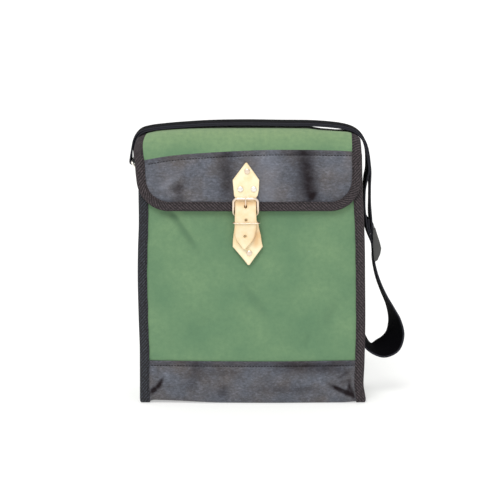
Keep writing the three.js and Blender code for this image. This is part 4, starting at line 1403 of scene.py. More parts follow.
    def gusset(self, side: Side) -> None:
        """Build one side: a wall with an edge turned out to the seams at the front, the foot and the back.

        Args:
            side: The side that it closes.
        """
        shape = self.shape
        turned = shape.gusset_inset - shape.edge_inset
        lift = float(shape.foot_lift(shape.edge(side, 0.0) - side.value * 4.0))
        floor = lift + VINYL + GAP + self.gusset_rise
        wall, height = self.gusset_width, shape.tape_top - floor

        def place(across: Array, along: Array) -> Arrays:
            """Place shares of the cloth on the wall and its turned edge."""
            girth, rise = across * (wall + 2.0 * turned), along * (height + turned)
            z = floor + soft_clip(rise - turned, height, self.gusset_softness)
            seam_x = shape.edge(side, z) - side.value * shape.edge_inset
            set_in = CANVAS + GAP + 0.5 * CANVAS
            low = np.maximum(z, floor + shape.foot_radius)
            bend = self.gusset_bend * (1.0 - smooth(z - floor, 0.0, shape.foot_radius))
            front = shape.front(seam_x, low, True) + set_in + bend
            back = shape.back(seam_x, low, True) - set_in - bend
            y = lerp(front, back, soft_clip(girth - turned, wall, self.gusset_softness) / wall)
            depth = np.minimum(np.minimum(girth, wall + 2.0 * turned - girth), rise)
            sag = np.sin(z / 13.0 + y / 9.0) * np.sin(y / 15.0 - z / 41.0)
            inner = shape.gusset_wall(side, z, y) - side.value * (0.5 * CANVAS + 0.5 * (1.0 + sag))
            full = np.abs(seam_x - inner)
            share = 1.0 - soft_clip(turned - depth, turned, self.gusset_softness) / turned
            x = seam_x - side.value * full * np.clip(share, 0.0, 1.0)
            return spots(x, y, z), beside(girth, rise)

        piece = bent_grid(f"{side.name.lower()}_gusset_canvas", 56, 110, place)
        thicken(piece, 0.9 * CANVAS, 0.0)
        dress(piece, self.canvas, Slot.CANVAS, f"gusset_{side.name.lower()}")

    def sew_row(self, bm: Mesh, surface: Callable, x: Array, along: Array) -> None:
        """Sew one row of stitches into the vinyl.

        Args:
            bm: The mesh that takes them.
            surface: Stands off the body or the flap.
            x: Places across.
            along: The surface's second parameter.
        """
        stand = GAP + VINYL - self.stitch_bed
        line = surface(x, along, stand)
        self.stitch.sew(bm, line, surface(x, along, stand + 1.0) - line)

    def seam_stitches(self) -> None:
        """Sew the vinyl's edges to the canvas."""
        shape = self.shape
        bm = bmesh.new()
        x = np.linspace(*self.flap_seam, 400)
        self.sew_row(bm, shape.on_flap, x, shape.seam_run(x) + self.seam_inset)
        dress(as_piece(bm, "flap_stitches"), self.thread, Slot.TAPE)
        bm = bmesh.new()
        x = np.linspace(*self.base_seam, 400)
        leg = shape.leg_at(x, shape.base_top - self.seam_inset)
        for front_or_back in (leg, 5.0 - leg):
            self.sew_row(bm, shape.on_shell, x, front_or_back)
        dress(as_piece(bm, "base_stitches"), self.thread, Slot.TAPE)


@dataclass
class Bindings:
    """Folded tape sewn round the side seams and the flap."""

    shape: BagShape
    tape: Material
    shaded: Material
    thread: Material
    stitch: Stitch = Stitch(length=2.4, width=0.6, height=0.4, pitch=3.2)
    leg: float = 9.6
    turn: float = 1.9
    columns: int = 24
    rows: int = 300
    stitch_reach: float = 7.6
    bottom: float = 81.0
    heel_end: float = 6.5
    base_step: Pair = (54.0, 58.5)
    flap_step: Pair = (-5.5, -2.0)
    side_points: int = 70
    corner_points: int = 24
    foot_points: int = 80

    def build(self) -> None:
        """Bind both side seams and the flap."""
        for side in Side:
            self.side_binding(side)
        self.flap_binding()

    def section(self, across: Array, over: Array, under: Array) -> Arrays:
        """Give the folded tape's section.

        Args:
            across: Shares of the tape's width.
            over: Stand of the outer leg's inside.
            under: Stand of the inner leg's inside.

        Returns:
            How far each place reaches in from the cloth's edge, and its stand.
        """
        part = across * 3.0
        angle = math.pi * np.clip(part - 1.0, 0.0, 1.0)
        middle = 0.5 * (over + under)
        half = 0.5 * (over - under) + TAPE
        reach = np.select(
            [part < 1.0, part <= 2.0],
            [self.leg * (1.0 - part), -self.turn * np.sin(angle)],
            self.leg * (part - 2.0),
        )
        return reach, middle + half * np.cos(angle)

    def bind(
        self, name: str, node: str, ends: Callable, at: Callable, flat: Pair, flip: bool = False
    ) -> None:
        """Fold tape along an edge and sew it.

        Args:
            name: Name of the new piece.
            node: CAD node that it stands for.
            ends: Gives the stands of both legs at shares along.
            at: Gives points from shares along, a reach and a stand.
            flat: The tape's width and length before it was folded.
            flip: Turn the tape's faces round, on the right side.
        """
        length = flat[1] / MM

        def place(across: Array, along: Array) -> Arrays:
            """Place shares of the tape round the edge."""
            over, under = ends(along)
            reach, out = self.section(across, over, under)
            uneven = 1.0 + 0.025 * np.sin(along * length / 6.1) * np.sin(along * length / 17.0)
            marks = beside(along * length, across * flat[0] / MM)
            return at(along, np.where(reach > 0.0, reach * uneven, reach), out), marks

        piece = bent_grid(name, self.columns, self.rows, place, flip=flip)
        thicken(piece, 0.85 * TAPE)
        tape = self.shaded if node == "side_binding_left" else self.tape
        dress(piece, tape, Slot.TAPE, node)
        bm = bmesh.new()
        along = np.linspace(0.002, 0.998, 4 * self.rows)
        over, under = ends(along)
        reach = np.full_like(along, self.stitch_reach)
        for stand, away in ((over + TAPE, 1.0), (under - TAPE, -1.0)):
            line = at(along, reach, stand)
            self.stitch.sew(bm, line, at(along, reach, stand + away) - line)
        dress(as_piece(bm, name.replace("tape", "tape_stitches")), self.thread, Slot.TAPE)

    def side_binding(self, side: Side) -> None:
        """Bind one side seam, from the mouth down the front, under the foot and up the back.

        Args:
            side: The seam's side.
        """
        shape = self.shape
        strip = FootStrip(shape, shape.tape_top, shape.tape_top - self.heel_end, self.bottom)
        turns = strip.turns

        def legs(along: Array) -> tuple[Array, Array, Array]:
            """Give heights, the cloth's edge and the body's legs along the seam."""
            run = along * turns[-1]
            z = strip.height(run)
            edge = shape.edge(side, z) - side.value * shape.edge_inset
            return z, edge, strip.legs(edge, run)

        def ends(along: Array) -> Arrays:
            """Give the stands of both of the tape's legs."""
            z, _, leg = legs(along)
            over = GAP + (1.0 - smooth(z, *self.base_step)) * (VINYL + GAP)
            turn = np.clip(1.5 - np.abs(leg - 2.5), 0.0, 1.0)
            return over, -(2.0 * CANVAS + 2.0 * GAP) + turn * (CANVAS + GAP - 0.1)

        def at(along: Array, reach: Array, out: Array) -> Array:
            """Give points at a reach from the edge and a stand."""
            _, edge, leg = legs(along)
            return shape.on_shell(edge - side.value * reach, leg, out)

        word = side.name.lower()
        flat = (0.026, round(turns[-1]) * MM)
        self.bind(f"{word}_side_tape", f"side_binding_{word}", ends, at, flat, flip=side is Side.RIGHT)

    def flap_line(self) -> Array:
        """Give the flap's cut edge, from back left to back right.

        Returns:
            Rows of x, the distance run from the back bend, and the direction inwards.
        """
        shape = self.shape
        radius = shape.flap_corner - shape.edge_inset
        halves = []
        for side in Side:
            run = np.linspace(1.0, shape.run_corner, self.side_points)
            inwards = np.full_like(run, -side.value)
            straight = beside(shape.flap_side(side, run), run, inwards, 0.0 * run)
            angle = np.radians(np.linspace(0.0, 90.0, self.corner_points))[1:]
            run = shape.run_corner + radius * np.sin(angle)
            in_x, in_run = -side.value * np.cos(angle), -np.sin(angle)
            round_off = beside(shape.flap_side(side, run), run, in_x, in_run)
            halves.append(np.concatenate((straight, round_off)))
        start, end = halves[0][-1, 0], halves[1][-1, 0]
        x = np.linspace(start, end, self.foot_points)[1:-1]
        level = np.zeros_like(x)
        foot = beside(x, level + shape.run_end, level, level - 1.0)
        return np.concatenate((halves[0], foot, halves[1][::-1]))

    def flap_binding(self) -> None:
        """Bind the flap down both sides, round its corners and along its foot."""
        shape = self.shape
        line = self.flap_line()
        run = run_lengths(line[:, :2])

        def spot(along: Array) -> list[Array]:
            """Give x, run and the direction inwards along the edge."""
            return [np.interp(along * run[-1], run, line[:, k]) for k in range(4)]

        def ends(along: Array) -> Arrays:
            """Give the stands of both of the tape's legs."""
            x, at_run, _, _ = spot(along)
            over = GAP + smooth(at_run - shape.seam_run(x), *self.flap_step) * (VINYL + GAP)
            return over, np.full_like(over, -CANVAS - 1.5 * GAP)

        def at(along: Array, reach: Array, out: Array) -> Array:
            """Give points at a reach from the edge and a stand."""
            x, at_run, in_x, in_run = spot(along)
            return shape.on_flap(x + reach * in_x, at_run + reach * in_run, out)

        self.bind("flap_tape", "flap_binding", ends, at, (0.025, round(run[-1]) * MM))


class LeatherRow(NamedTuple):
    """One station of a leather strap: its height, middle, half width and the stand of its middle layer."""

    z: float
    x: float
    half: float
    stand: float


class Hole(NamedTuple):
    """A punched hole or slot: its height, middle, half width and half length."""

    z: float
    x: float
    half: float
    reach: float


class Rivet(NamedTuple):
    """A rivet's name and place, and whether its plate takes the leather-tinted nickel, a painted reflection.
    """

    name: str
    x: float
    z: float
    stand: float
    painted_light: bool = False


@dataclass
class Closure:
    """Leather strap and tab, buckle, keeper and rivets."""

    shape: BagShape
    leather: Material
    nickel: Material
    # Nickel tinted leather colour: a painted reflection of the leather, on the buckle frame, prong, keeper
    # and two rivets.
    painted_light: Material
    heel_z: float = 231.0
    heel_stand: float = 8.2
    top_bar_z: float = 251.6
    frame_half: float = 14.55
    frame_corner: float = 4.5
    frame_wire: float = 3.0
    roller: float = 3.8
    prong_wire: float = 1.7
    keeper_wire: float = 1.4
    keeper_z: float = 222.4
    keeper_half: float = 15.8
    keeper_x: float = -7.4
    keeper_low: float = 7.6
    keeper_high: float = 15.4
    keeper_corner: float = 2.6
    buckle_x: float = -8.2
    rivet_radius: float = 3.5
    rivet_post: float = 1.3
    bevel: float = 0.5
    rub: float = 1.6
    rub_shade: float = 0.28
    # Darker tan laid on the leather from the lower of these heights up to the top bar.
    below_bar_tan: float = 0.2
    below_bar_tan_z: Pair = (180.0, 205.0)
    slot_half: float = 1.7
    fold_half: float = 9.7
    slice_along: float = 1.5
    slice_across: float = 2.0
    slice_half: float = 20.0
    punch_reach: float = 5.0
    strap_rows: tuple[LeatherRow, ...] = named(
        LeatherRow,
        (190.4, -9.9, 0.8, 11.6), (193, -9.8, 3.1, 11.2), (196.6, -9.5, 6.1, 10.8),
        (200.5, -9.3, 8.9, 10.6), (204.5, -9, 11.1, 10.8), (209, -8.8, 12.3, 11.4),
        (215, -8.5, 12.8, 12.3), (222, -8.2, 13, 13.1), (229, -8.2, 12.9, 13.8),
        (235, -8.2, 12.5, 13.6), (239, -8.2, 12.5, 13.1), (243, -8.2, 12.5, 12.6),
        (246, -8.2, 12.5, 12.1), (249, -8.2, 12.5, 11.5), (252.5, -8.1, 12.6, 10.7),
        (255.5, -7.9, 14.1, 10.2), (262, -7.55, 15.05, 9.6), (273.4, -7.8, 15.8, 9.35),
        (281, -7.6, 10.4, 9.3), (289, -7.5, 4.5, 9.3), (294, -7.4, 0.8, 9.3),
    )
    strap_holes: tuple[Hole, ...] = named(
        Hole, (242.2, -8.2, 1.65, 2.1), (226.2, -7.7, 1.7, 1.7), (206.5, -8.9, 1.7, 1.7)
    )
    tab_front: tuple[LeatherRow, ...] = named(
        LeatherRow,
        (171.3, -4.6, 1, 8.4), (178, -4.8, 5.9, 8.4), (186, -5.25, 12.2, 7.9), (193.2, -5.7, 17.9, 7.4),
        (200, -6.3, 17.1, 7.5), (207, -6.4, 16.3, 8.2), (215, -6.8, 14.8, 9.4),
        (222, -7.15, 13.85, 10.3),
    )
    tab_back: tuple[LeatherRow, ...] = named(
        LeatherRow,
        (224, -7.9, 10.6, 4.9), (210, -7, 12, 4.6), (196, -5.8, 12, 4.8), (186, -5.2, 10.4, 5.3),
        (179, -4.8, 4.6, 5.8),
    )
    frame_stand: Curve = Curve(((231.0, 8.2), (234.8, 10.2), (238.5, 11.9), (252.5, 14.0)))
    prong_rows: tuple[Pair, ...] = (
        (232.4, 10.3), (237.0, 10.5), (239.4, 10.85), (241.3, 11.7),
        (244.3, 14.2), (248.0, 15.7), (252.5, 17.1), (255.0, 16.8),
    )
    # Painted shadows on the leather: warm shade just below the buckle's top bar, and on the tab beside the
    # strap's tip.
    painted_shadows: tuple[Fold, ...] = (Fold(-8, 246.5, 0, 36, 3.2, 0.5), Fold(4.5, 203, 80, 30, 4, 0.55))
    rivets: tuple[Rivet, ...] = (
        Rivet("rivet_upper", -6.4, 284.0, 10.4, True),
        Rivet("rivet_left", -14.4, 262.6, 10.7),
        Rivet("rivet_right", 1.4, 262.6, 10.7),
        Rivet("rivet_lower", -3.9, 185.8, 9.0, True),
    )

    def build(self) -> None:
        """Build the leather and then the metal."""
        self.cut_leather("closure_leather", self.strap_rows, self.strap_holes, "closure_strap")
        self.buckle_tab()
        self.buckle_frame()
        self.prong()
        self.keeper()
        for rivet in self.rivets:
            self.set_rivet(rivet)

    def at_stand(self, x: Array, z: Array, stand: Array) -> Array:
        """Give points at a stand from the plain front."""
        return spots(x, self.shape.front_plane(z) - stand, z)

    def cut_leather(
        self, name: str, rows: Sequence[LeatherRow], holes: Sequence[Hole], node: str, slot_from: float = 0.0
    ) -> None:
        """Cut a strap flat, punch and round it, then bend it to its line.

        Args:
            name: Name of the new piece.
            rows: Its stations from the lower tip on, with the face away from the bag on the line's left.
            holes: Its holes, by height on the leaf that starts at the tip.
            node: CAD node that it stands for.
            slot_from: Height where a slot for the prong starts, on both leaves, or 0 for none.
        """
        table = np.array(rows)
        run = run_lengths(table[:, [0, 3]])
        rising = int(np.argmax(table[:, 0])) + 1

        def reach_of(z: float) -> float:
            """Give the distance run at a height on the first leaf."""
            return float(np.interp(z, table[:rising, 0], run[:rising]))

        punched = []
        for hole in holes:
            at = reach_of(hole.z)
            punched.append(hole._replace(z=at, x=hole.x - float(np.interp(at, run, table[:, 1]))))
        if slot_from:
            low, high = reach_of(slot_from), float(np.interp(-slot_from, -table[rising:, 0], run[rising:]))
            punched.append(Hole(0.5 * (low + high), 0.0, self.slot_half, 0.5 * (high - low)))
        outline = [(-half, at) for half, at in zip(table[:, 2], run)]
        outline += [(half, at) for half, at in zip(table[::-1, 2], run[::-1])]
        corners = [(x, y, 0.5 * LEATHER) for x, y in outline]
        piece = as_piece(prism(corners, (0.0, 0.0, -LEATHER)), name)
        carve(piece, [self.punch(hole) for hole in punched], Carve.DIFFERENCE)
        bm = bmesh.new()
        bm.from_mesh(piece.data)
        self.soften(bm, run[-1])
        self.bend_leather(bm, table, run, np.array(outline), punched)
        bm.to_mesh(piece.data)
        bm.free()
        piece.data.shade_smooth()
        piece.data.set_sharp_from_angle(angle=math.radians(50.0))
        dress(piece, self.leather, Slot.LEATHER, node)

    def soften(self, bm: Mesh, length: float) -> None:
        """Round the rims of flat leather and slice it into cells that can bend.

        Args:
            bm: The leather.
            length: Its length.
        """
        sharp = [edge for edge in bm.edges if len(edge.link_faces) == 2 and edge.calc_face_angle() > 0.9]
        rim = [edge for edge in sharp if abs(edge.verts[0].co.z - edge.verts[1].co.z) < 0.1 * MM]
        bmesh.ops.bevel(
            bm, geom=rim, offset=self.bevel * MM, affect="EDGES", segments=3, profile=0.5, material=-1
        )
        across, along = Vector((1.0, 0.0, 0.0)), Vector((0.0, 1.0, 0.0))
        first = self.slice_across - self.slice_half
        cuts = [(along, at) for at in np.arange(self.slice_along, length, self.slice_along)]
        cuts += [(across, at) for at in np.arange(first, self.slice_half, self.slice_across)]
        for way, at in cuts:
            geom = bm.verts[:] + bm.edges[:] + bm.faces[:]
            bmesh.ops.bisect_plane(bm, geom=geom, plane_co=way * (at * MM), plane_no=way)

    def punch(self, hole: Hole) -> Piece:
        """Make the tool for one hole: a rod, drawn out along the strap for a slot.

        Args:
            hole: The hole on the flat strap, with the distance run as its height.

        Returns:
            The tool.
        """
        outline = []
        for turn in np.radians(np.arange(7.5, 360.0, 15.0)):
            across, along = hole.half * math.cos(turn), hole.half * math.sin(turn)
            drawn = math.copysign(max(hole.reach - hole.half, 0.0), along)
            outline.append((hole.x + across, hole.z + along + drawn, -self.punch_reach))
        return as_piece(prism(outline, (0.0, 0.0, 2.0 * self.punch_reach)), "punch")

    def bend_leather(
        self, bm: Mesh, table: Array, run: Array, outline: Array, punched: Sequence[Hole]
    ) -> None:
        """Bend a flat strap to its line, and keep its cut as a map and, as an attribute, its rubbed edges, a
        darker tan below the top bar and painted shadows.

        Args:
            bm: The flat strap.
            table: Its stations.
            run: Distances run at the stations.
            outline: Its flat outline.
            punched: Its holes, with the distance run as their height.
        """
        flat = np.array([vert.co for vert in bm.verts]) / MM
        ends = np.roll(outline, -1, axis=0)
        spans = ends - outline
        offset = flat[:, None, :2] - outline[None]
        share = np.clip((offset * spans).sum(-1) / np.maximum((spans**2).sum(-1), 1e-9), 0.0, 1.0)
        inside = np.linalg.norm(offset - share[..., None] * spans, axis=-1).min(1)
        for hole in punched:
            along = np.maximum(np.abs(flat[:, 1] - hole.z) - max(hole.reach - hole.half, 0.0), 0.0)
            inside = np.minimum(inside, np.maximum(np.hypot(flat[:, 0] - hole.x, along) - hole.half, 0.0))
        lines = [Curve(tuple(zip(run, table[:, k]))) for k in (0, 1, 3)]
        z, x, stand = (line(flat[:, 1]) for line in lines)
        ahead = [line(flat[:, 1] + 0.2) - line(flat[:, 1] - 0.2) for line in lines]
        rise, lean = unit(beside(ahead[0], ahead[2])).T
        points = self.at_stand(x + flat[:, 0], z - lean * flat[:, 2], stand + rise * flat[:, 2])
        cut = bm.loops.layers.uv.new("cut")
        edge = bm.verts.layers.float.new("edge")
        # The edge attribute: rubbed edges, a darker tan up to the top bar, and painted shadows.
        below_bar_tan = self.below_bar_tan * smooth(points[:, 2], *self.below_bar_tan_z)
        warm = np.where(points[:, 2] < self.top_bar_z, below_bar_tan, 0.0)
        warm += pressed(self.painted_shadows, points[:, 0], points[:, 2])
        rubbed = warm + self.rub_shade * np.clip(1.0 - inside / self.rub, 0.0, 1.0)
        for vert, point, mark, share in zip(bm.verts, points * MM, flat * MM, rubbed):
            vert.co = point
            vert[edge] = share
            for loop in vert.link_loops:
                loop[cut].uv = mark[:2]

    def buckle_tab(self) -> None:
        """Build the tab, which folds round the buckle's heel bar."""
        radius = 0.5 * self.frame_wire + GAP + 0.5 * LEATHER
        fold = []
        for angle in np.radians(np.arange(0.0, 181.0, 22.5)):
            z, stand = self.heel_z + radius * math.sin(angle), self.heel_stand + radius * math.cos(angle)
            fold.append(LeatherRow(z, self.buckle_x, self.fold_half, stand))
        lower, clear = self.rivets[-1], self.rivet_post + GAP
        post = Hole(lower.z, lower.x, clear, clear)
        rows = (*self.tab_front, *fold, *self.tab_back)
        self.cut_leather("buckle_tab_leather", rows, (post,), "buckle_tab", slot_from=self.heel_z - 3.0)

    def buckle_frame(self) -> None:
        """Build the frame, with a roller on its top bar."""
        across, up = rounded_loop(self.frame_half, self.heel_z, self.top_bar_z, self.frame_corner, 9).T
        path = self.at_stand(self.buckle_x + across, up, self.frame_stand(up))
        straight = self.frame_half - self.frame_corner + 0.1
        on_top = (up > self.top_bar_z - 0.2) & (np.abs(across) < straight)
        radius = np.where(on_top, 0.5 * self.roller, 0.5 * self.frame_wire)
        piece = wire("buckle_frame_wire", path, radius, (0.0, -1.0, 0.0), closed=True, sides=18)
        dress(piece, self.painted_light, Slot.NICKEL, "buckle_frame")

    def prong(self) -> None:
        """Build the prong, bent round the heel bar and laid through the strap on the top bar."""
        radius = 0.5 * (self.frame_wire + self.prong_wire) + GAP
        angle = np.radians(np.linspace(-300.0, -4.0, 40))
        eye_z, eye_stand = self.heel_z + radius * np.sin(angle), self.heel_stand + radius * np.cos(angle)
        eye = beside(eye_z, eye_stand)
        shank = np.concatenate((eye[-1:], np.array(self.prong_rows)))
        run = run_lengths(shank)
        at = np.linspace(0.0, run[-1], 60)[1:]
        line = np.stack([Curve(tuple(zip(run, shank[:, k])))(at) for k in range(2)], axis=-1)
        path = np.concatenate((eye, line))
        past = run_lengths(path)
        ends = np.minimum(past, past[-1] - past)
        thick = 0.5 * self.prong_wire * np.sqrt(np.clip(ends / 1.4, 0.0, 1.0))
        points = self.at_stand(np.full(len(path), self.buckle_x), path[:, 0], path[:, 1])
        piece = wire("buckle_prong_wire", points, thick, (1.0, 0.0, 0.0), closed=False, sides=12)
        dress(piece, self.painted_light, Slot.NICKEL, "buckle_prong")

    def keeper(self) -> None:
        """Build the wire loop that holds the strap's end down."""
        loop = rounded_loop(self.keeper_half, self.keeper_low, self.keeper_high, self.keeper_corner, 8)
        path = self.at_stand(self.keeper_x + loop[:, 0], np.full(len(loop), self.keeper_z), loop[:, 1])
        piece = wire("keeper_wire", path, 0.5 * self.keeper_wire, (0.0, 0.0, 1.0), closed=True, sides=12)
        dress(piece, self.painted_light, Slot.NICKEL, "wire_keeper")

    def set_rivet(self, rivet: Rivet) -> None:
        """Turn one rivet: a domed cap on a short post.

        Args:
            rivet: Its name and place.
        """
        radius = self.rivet_radius
        profile = [
            (0.0, -LEATHER), (self.rivet_post, -LEATHER), (self.rivet_post, 0.25), (radius - 0.25, 0.25),
            (radius, 0.45), (radius, 0.75), (radius - 0.35, 1.15), (radius - 1.0, 1.55),
            (radius - 1.9, 1.85), (radius - 2.8, 2.0), (0.0, 2.05),
        ]
        seat = self.at_stand(np.array(rivet.x), np.array(rivet.z), np.array(rivet.stand)) * MM
        bm = bmesh.new()
        verts = [bm.verts.new(Vector(seat) + Vector((out, -up, 0.0)) * MM) for out, up in profile]
        edges = [bm.edges.new(pair) for pair in zip(verts, verts[1:])]
        bmesh.ops.spin(
            bm, geom=verts + edges, cent=Vector(seat), axis=(0.0, 1.0, 0.0),
            angle=2.0 * math.pi, steps=32, use_merge=True,
        )
        bmesh.ops.remove_doubles(bm, verts=bm.verts[:], dist=0.01 * MM)
        bmesh.ops.recalc_face_normals(bm, faces=bm.faces[:])
        metal = self.painted_light if rivet.painted_light else self.nickel
        dress(as_piece(bm, f"{rivet.name}_cap"), metal, Slot.NICKEL, rivet.name)


class StrapPoint(NamedTuple):
    """One place on the strap's middle line, and how far its near edge leans from it."""

    x: float
    z: float
    lean_x: float = 0.0
    lean_z: float = 0.0


def arc(middle: StrapPoint, radius: float, start: float, end: float, steps: int) -> list[StrapPoint]:
    """Go round a bar.

    Args:
        middle: The bar's middle.
        radius: Distance from it.
        start: First angle in degrees.
        end: Last angle.
        steps: Steps between them.

    Returns:
        Places on the line.
    """
    turns = np.radians(np.linspace(start, end, steps + 1))
    return [StrapPoint(middle.x + radius * math.cos(t), middle.z + radius * math.sin(t)) for t in turns]


@dataclass
class ShoulderStrap:
    """Webbing strap, its slide, and the ring and tab that hold it at the left."""

    shape: BagShape
    webbing: Material
    nickel: Material
    plastic: Material
    width: float = 38.0
    thickness: float = 1.9
    step: float = 2.0
    ring_wire: float = 3.0
    ring_half: float = 21.6
    ring_corner: float = 2.3
    columns: int = 10
    strap_cell: float = 2.0
    tab_cell: float = 1.5
    flare: float = 1.2
    turn_radius: float = 4.2
    turn_z: float = 270.0
    sewn_z: tuple[float, ...] = (226.0, 240.0, 255.0)
    rail_clearance: float = 0.6
    rail_bevel: float = 0.5
    slide_bar: float = 3.0
    slide_rail: float = 3.2
    tab_width: float = 36.0
    tab_thickness: float = 1.4
    ring_top: StrapPoint = StrapPoint(-144.4, 291.0)
    ring_foot: StrapPoint = StrapPoint(-130.2, 271.0)
    hanging_loop: tuple[StrapPoint, ...] = named(
        StrapPoint,
        (126.5, 240), (128.5, 200), (130.5, 160), (131.8, 128), (132.5, 104, -0.4, 0),
        (133.7, 86, -1, -0.4), (136.9, 69.8, -2, -1.6), (145.6, 58.2, -1, -1.3), (158, 57.4, 3.8, -6.9),
        (169.8, 63.7, 8.7, -5.8), (175.7, 76.5, 9.1, -0.4), (174.8, 94, 6, 1.8), (168.6, 111, 3.2, 1.4),
        (160.9, 126.5, 2.1, 0.8), (154, 143, 1.4, 0.4), (149.2, 160, 0.6, 0),
    )
    through_slide: tuple[StrapPoint, ...] = named(
        StrapPoint,
        (147.3, 174), (149.8, 181), (152.6, 188.5), (149.3, 198), (145, 206.5, 0.3, 0),
        (143.7, 215, 0.5, 0),
    )
    over_top: tuple[StrapPoint, ...] = named(
        StrapPoint,
        (142.7, 226, 0.5, 0), (142.05, 242, -0.2, 0), (141.8, 262, -0.2, 0), (141, 279, 1, 0),
        (140.4, 292, 0.3, -0.2), (139.2, 303, -0.1, -0.4), (136.8, 311.8, 0, -0.3), (133.4, 318.6),
        (128.9, 324.2), (122, 329), (113, 332.2), (99, 334.6), (73, 336.6), (33, 337.1), (-7, 337.6),
        (-50, 336.9), (-84, 334.9), (-108, 332.8), (-124, 330.6), (-135, 326.9),
        (-142, 318.6, 0.5, 0.5), (-145.4, 306, 0.8, 0),
    )
    sewn_end: tuple[StrapPoint, ...] = named(
        StrapPoint,
        (137.1, 270, 0.8, 0), (135.65, 259, 0.1, 0), (135.4, 247, -0.2, 0), (135.6, 234, -0.1, 0),
        (136.8, 221, 0.5, 0), (138.2, 210, 0.8, 0), (141.6, 200, 1, 0),
    )
    sewn_return: tuple[StrapPoint, ...] = named(
        StrapPoint,
        (146.8, 197.8, 0.4, 0), (143, 203.6, 0.8, 0), (140.2, 211.4, 0.8, 0), (139.2, 221.6, 0.8, 0),
    )
    slide_bars: tuple[StrapPoint, ...] = named(
        StrapPoint, (147.8, 207.2), (148.1, 188.5), (149.8, 173.4)
    )
    slide_profile: tuple[StrapPoint, ...] = named(
        StrapPoint,
        (145.8, 211.4), (145.1, 206.5), (145.4, 189), (146.9, 172), (148.8, 170), (151.2, 171.8),
        (154.4, 179.2), (155.6, 186.4), (153.9, 193.4), (149.9, 205.4), (148.1, 211.2),
    )

    def build(self) -> None:
        """Build the strap and its fittings."""
        self.strap()
        self.slide()
        self.ring()
        self.tab()

    def sewn_x(self, z: float) -> float:
        """Give x of the strap where it is sewn to the right gusset."""
        return float(self.shape.gusset_wall(Side.RIGHT, z, 0.5 * self.width)) + GAP + 0.5 * WEBBING

    def inner_layer(self) -> list[StrapPoint]:
        """Lay the run back under the top one, leaning forward a little at the left.

        Returns:
            Places on its line.
        """
        rows = np.array(self.over_top[3:])
        places = rows[:, :2]
        ahead = np.concatenate((places[1:], places[-1:])) - np.concatenate((places[:1], places[:-1]))
        rows[:, :2] += self.step * unit(ahead) @ np.array(((0.0, 1.0), (-1.0, 0.0)))
        rows[:, 2] += self.flare * smooth(-rows[:, 0], 112.0, 130.0)
        return [StrapPoint(*row) for row in rows[::-1]]

    def route(self) -> list[StrapPoint]:
        """Give the strap's whole line, from its sewn end to its stitched return at the slide.

        Returns:
            Places on the line.
        """
        round_ring = 0.5 * (self.ring_wire + WEBBING) + GAP
        turn = StrapPoint(self.sewn_x(self.turn_z - 2.0) + self.turn_radius, self.turn_z)
        return [
            *(StrapPoint(self.sewn_x(z), z) for z in self.sewn_z),
            *arc(turn, self.turn_radius, 180.0, 0.0, 6),
            *self.hanging_loop,
            *self.through_slide,
            *self.over_top,
            *arc(self.ring_top, round_ring, 180.0, 360.0, 6),
            *self.inner_layer(),
            *self.sewn_end,
            *arc(self.slide_bars[1], round_ring, 180.0, 382.0, 8),
            *self.sewn_return,
        ]

    def ribbon(
        self, name: str, rows: Sequence[StrapPoint], width: float, thickness: float, cell: float
    ) -> tuple[Piece, float]:
        """Run a flat ribbon along a line.

        Args:
            name: Name of the new piece.
            rows: Its line.
            width: Its width.
            thickness: Its thickness, half on each side of the line.
            cell: Length of a quad.

        Returns:
            The piece and its length in metres.
        """
        table = np.array(rows)
        run = run_lengths(table[:, :2])
        lines = [Curve(tuple(zip(run, table[:, k]))) for k in range(4)]

        def place(across: Array, along: Array) -> Arrays:
            """Place shares of the ribbon on its line."""
            x, z, lean_x, lean_z = (line(along * run[-1]) for line in lines)
            deep = np.sqrt((0.5 * width) ** 2 - lean_x**2 - lean_z**2)
            edge = (2.0 * across - 1.0)[:, None]
            points = spots(x, 0.0 * x, z) + edge * spots(lean_x, -deep, lean_z)
            return points, beside(across * width, along * run[-1])

        piece = bent_grid(name, self.columns, round(run[-1] / cell), place)
        thicken(piece, thickness, 0.0)
        return piece, round(run[-1]) * MM

    def strap(self) -> None:
        """Build the strap."""
        route, cell = self.route(), self.strap_cell
        piece, length = self.ribbon("strap_webbing", route, self.width, self.thickness, cell)
        dress(piece, self.webbing, Slot.WEBBING, "shoulder_strap")

    def tab(self) -> None:
        """Build the tab that holds the ring at the left."""
        thick = self.tab_thickness
        around = 0.5 * (self.ring_wire + thick) + GAP

        def wall(z: float) -> float:
            """Give x of webbing that lies on the left gusset."""
            face = float(self.shape.gusset_wall(Side.LEFT, z, 0.5 * self.tab_width))
            return face - 2.0 * GAP - 0.5 * thick

        rows = [
            StrapPoint(wall(224.0), 224.0),
            StrapPoint(wall(246.0), 246.0),
            StrapPoint(wall(255.0) - 1.4, 255.0),
            *arc(self.ring_foot, around, -20.0, 210.0, 10),
            StrapPoint(wall(254.0) - 3.4, 254.0),
            StrapPoint(wall(246.0) - thick - GAP, 246.0),
            StrapPoint(wall(224.0) - thick - GAP, 224.0),
        ]
        piece, length = self.ribbon("ring_tab_webbing", rows, self.tab_width, thick, self.tab_cell)
        dress(piece, self.webbing, Slot.WEBBING, "ring_tab")

    def ring(self) -> None:
        """Build the ring, a flat loop of wire."""
        span = np.array((self.ring_top.x - self.ring_foot.x, self.ring_top.z - self.ring_foot.z))
        length = float(np.linalg.norm(span))
        loop = rounded_loop(self.ring_half, 0.0, length, self.ring_corner, 8)
        share = loop[:, 1] / length
        path = spots(self.ring_foot.x + span[0] * share, loop[:, 0], self.ring_foot.z + span[1] * share)
        facing = (-span[1] / length, 0.0, span[0] / length)
        piece = wire("strap_ring_wire", path, 0.5 * self.ring_wire, facing, closed=True)
        dress(piece, self.nickel, Slot.NICKEL, "strap_ring")

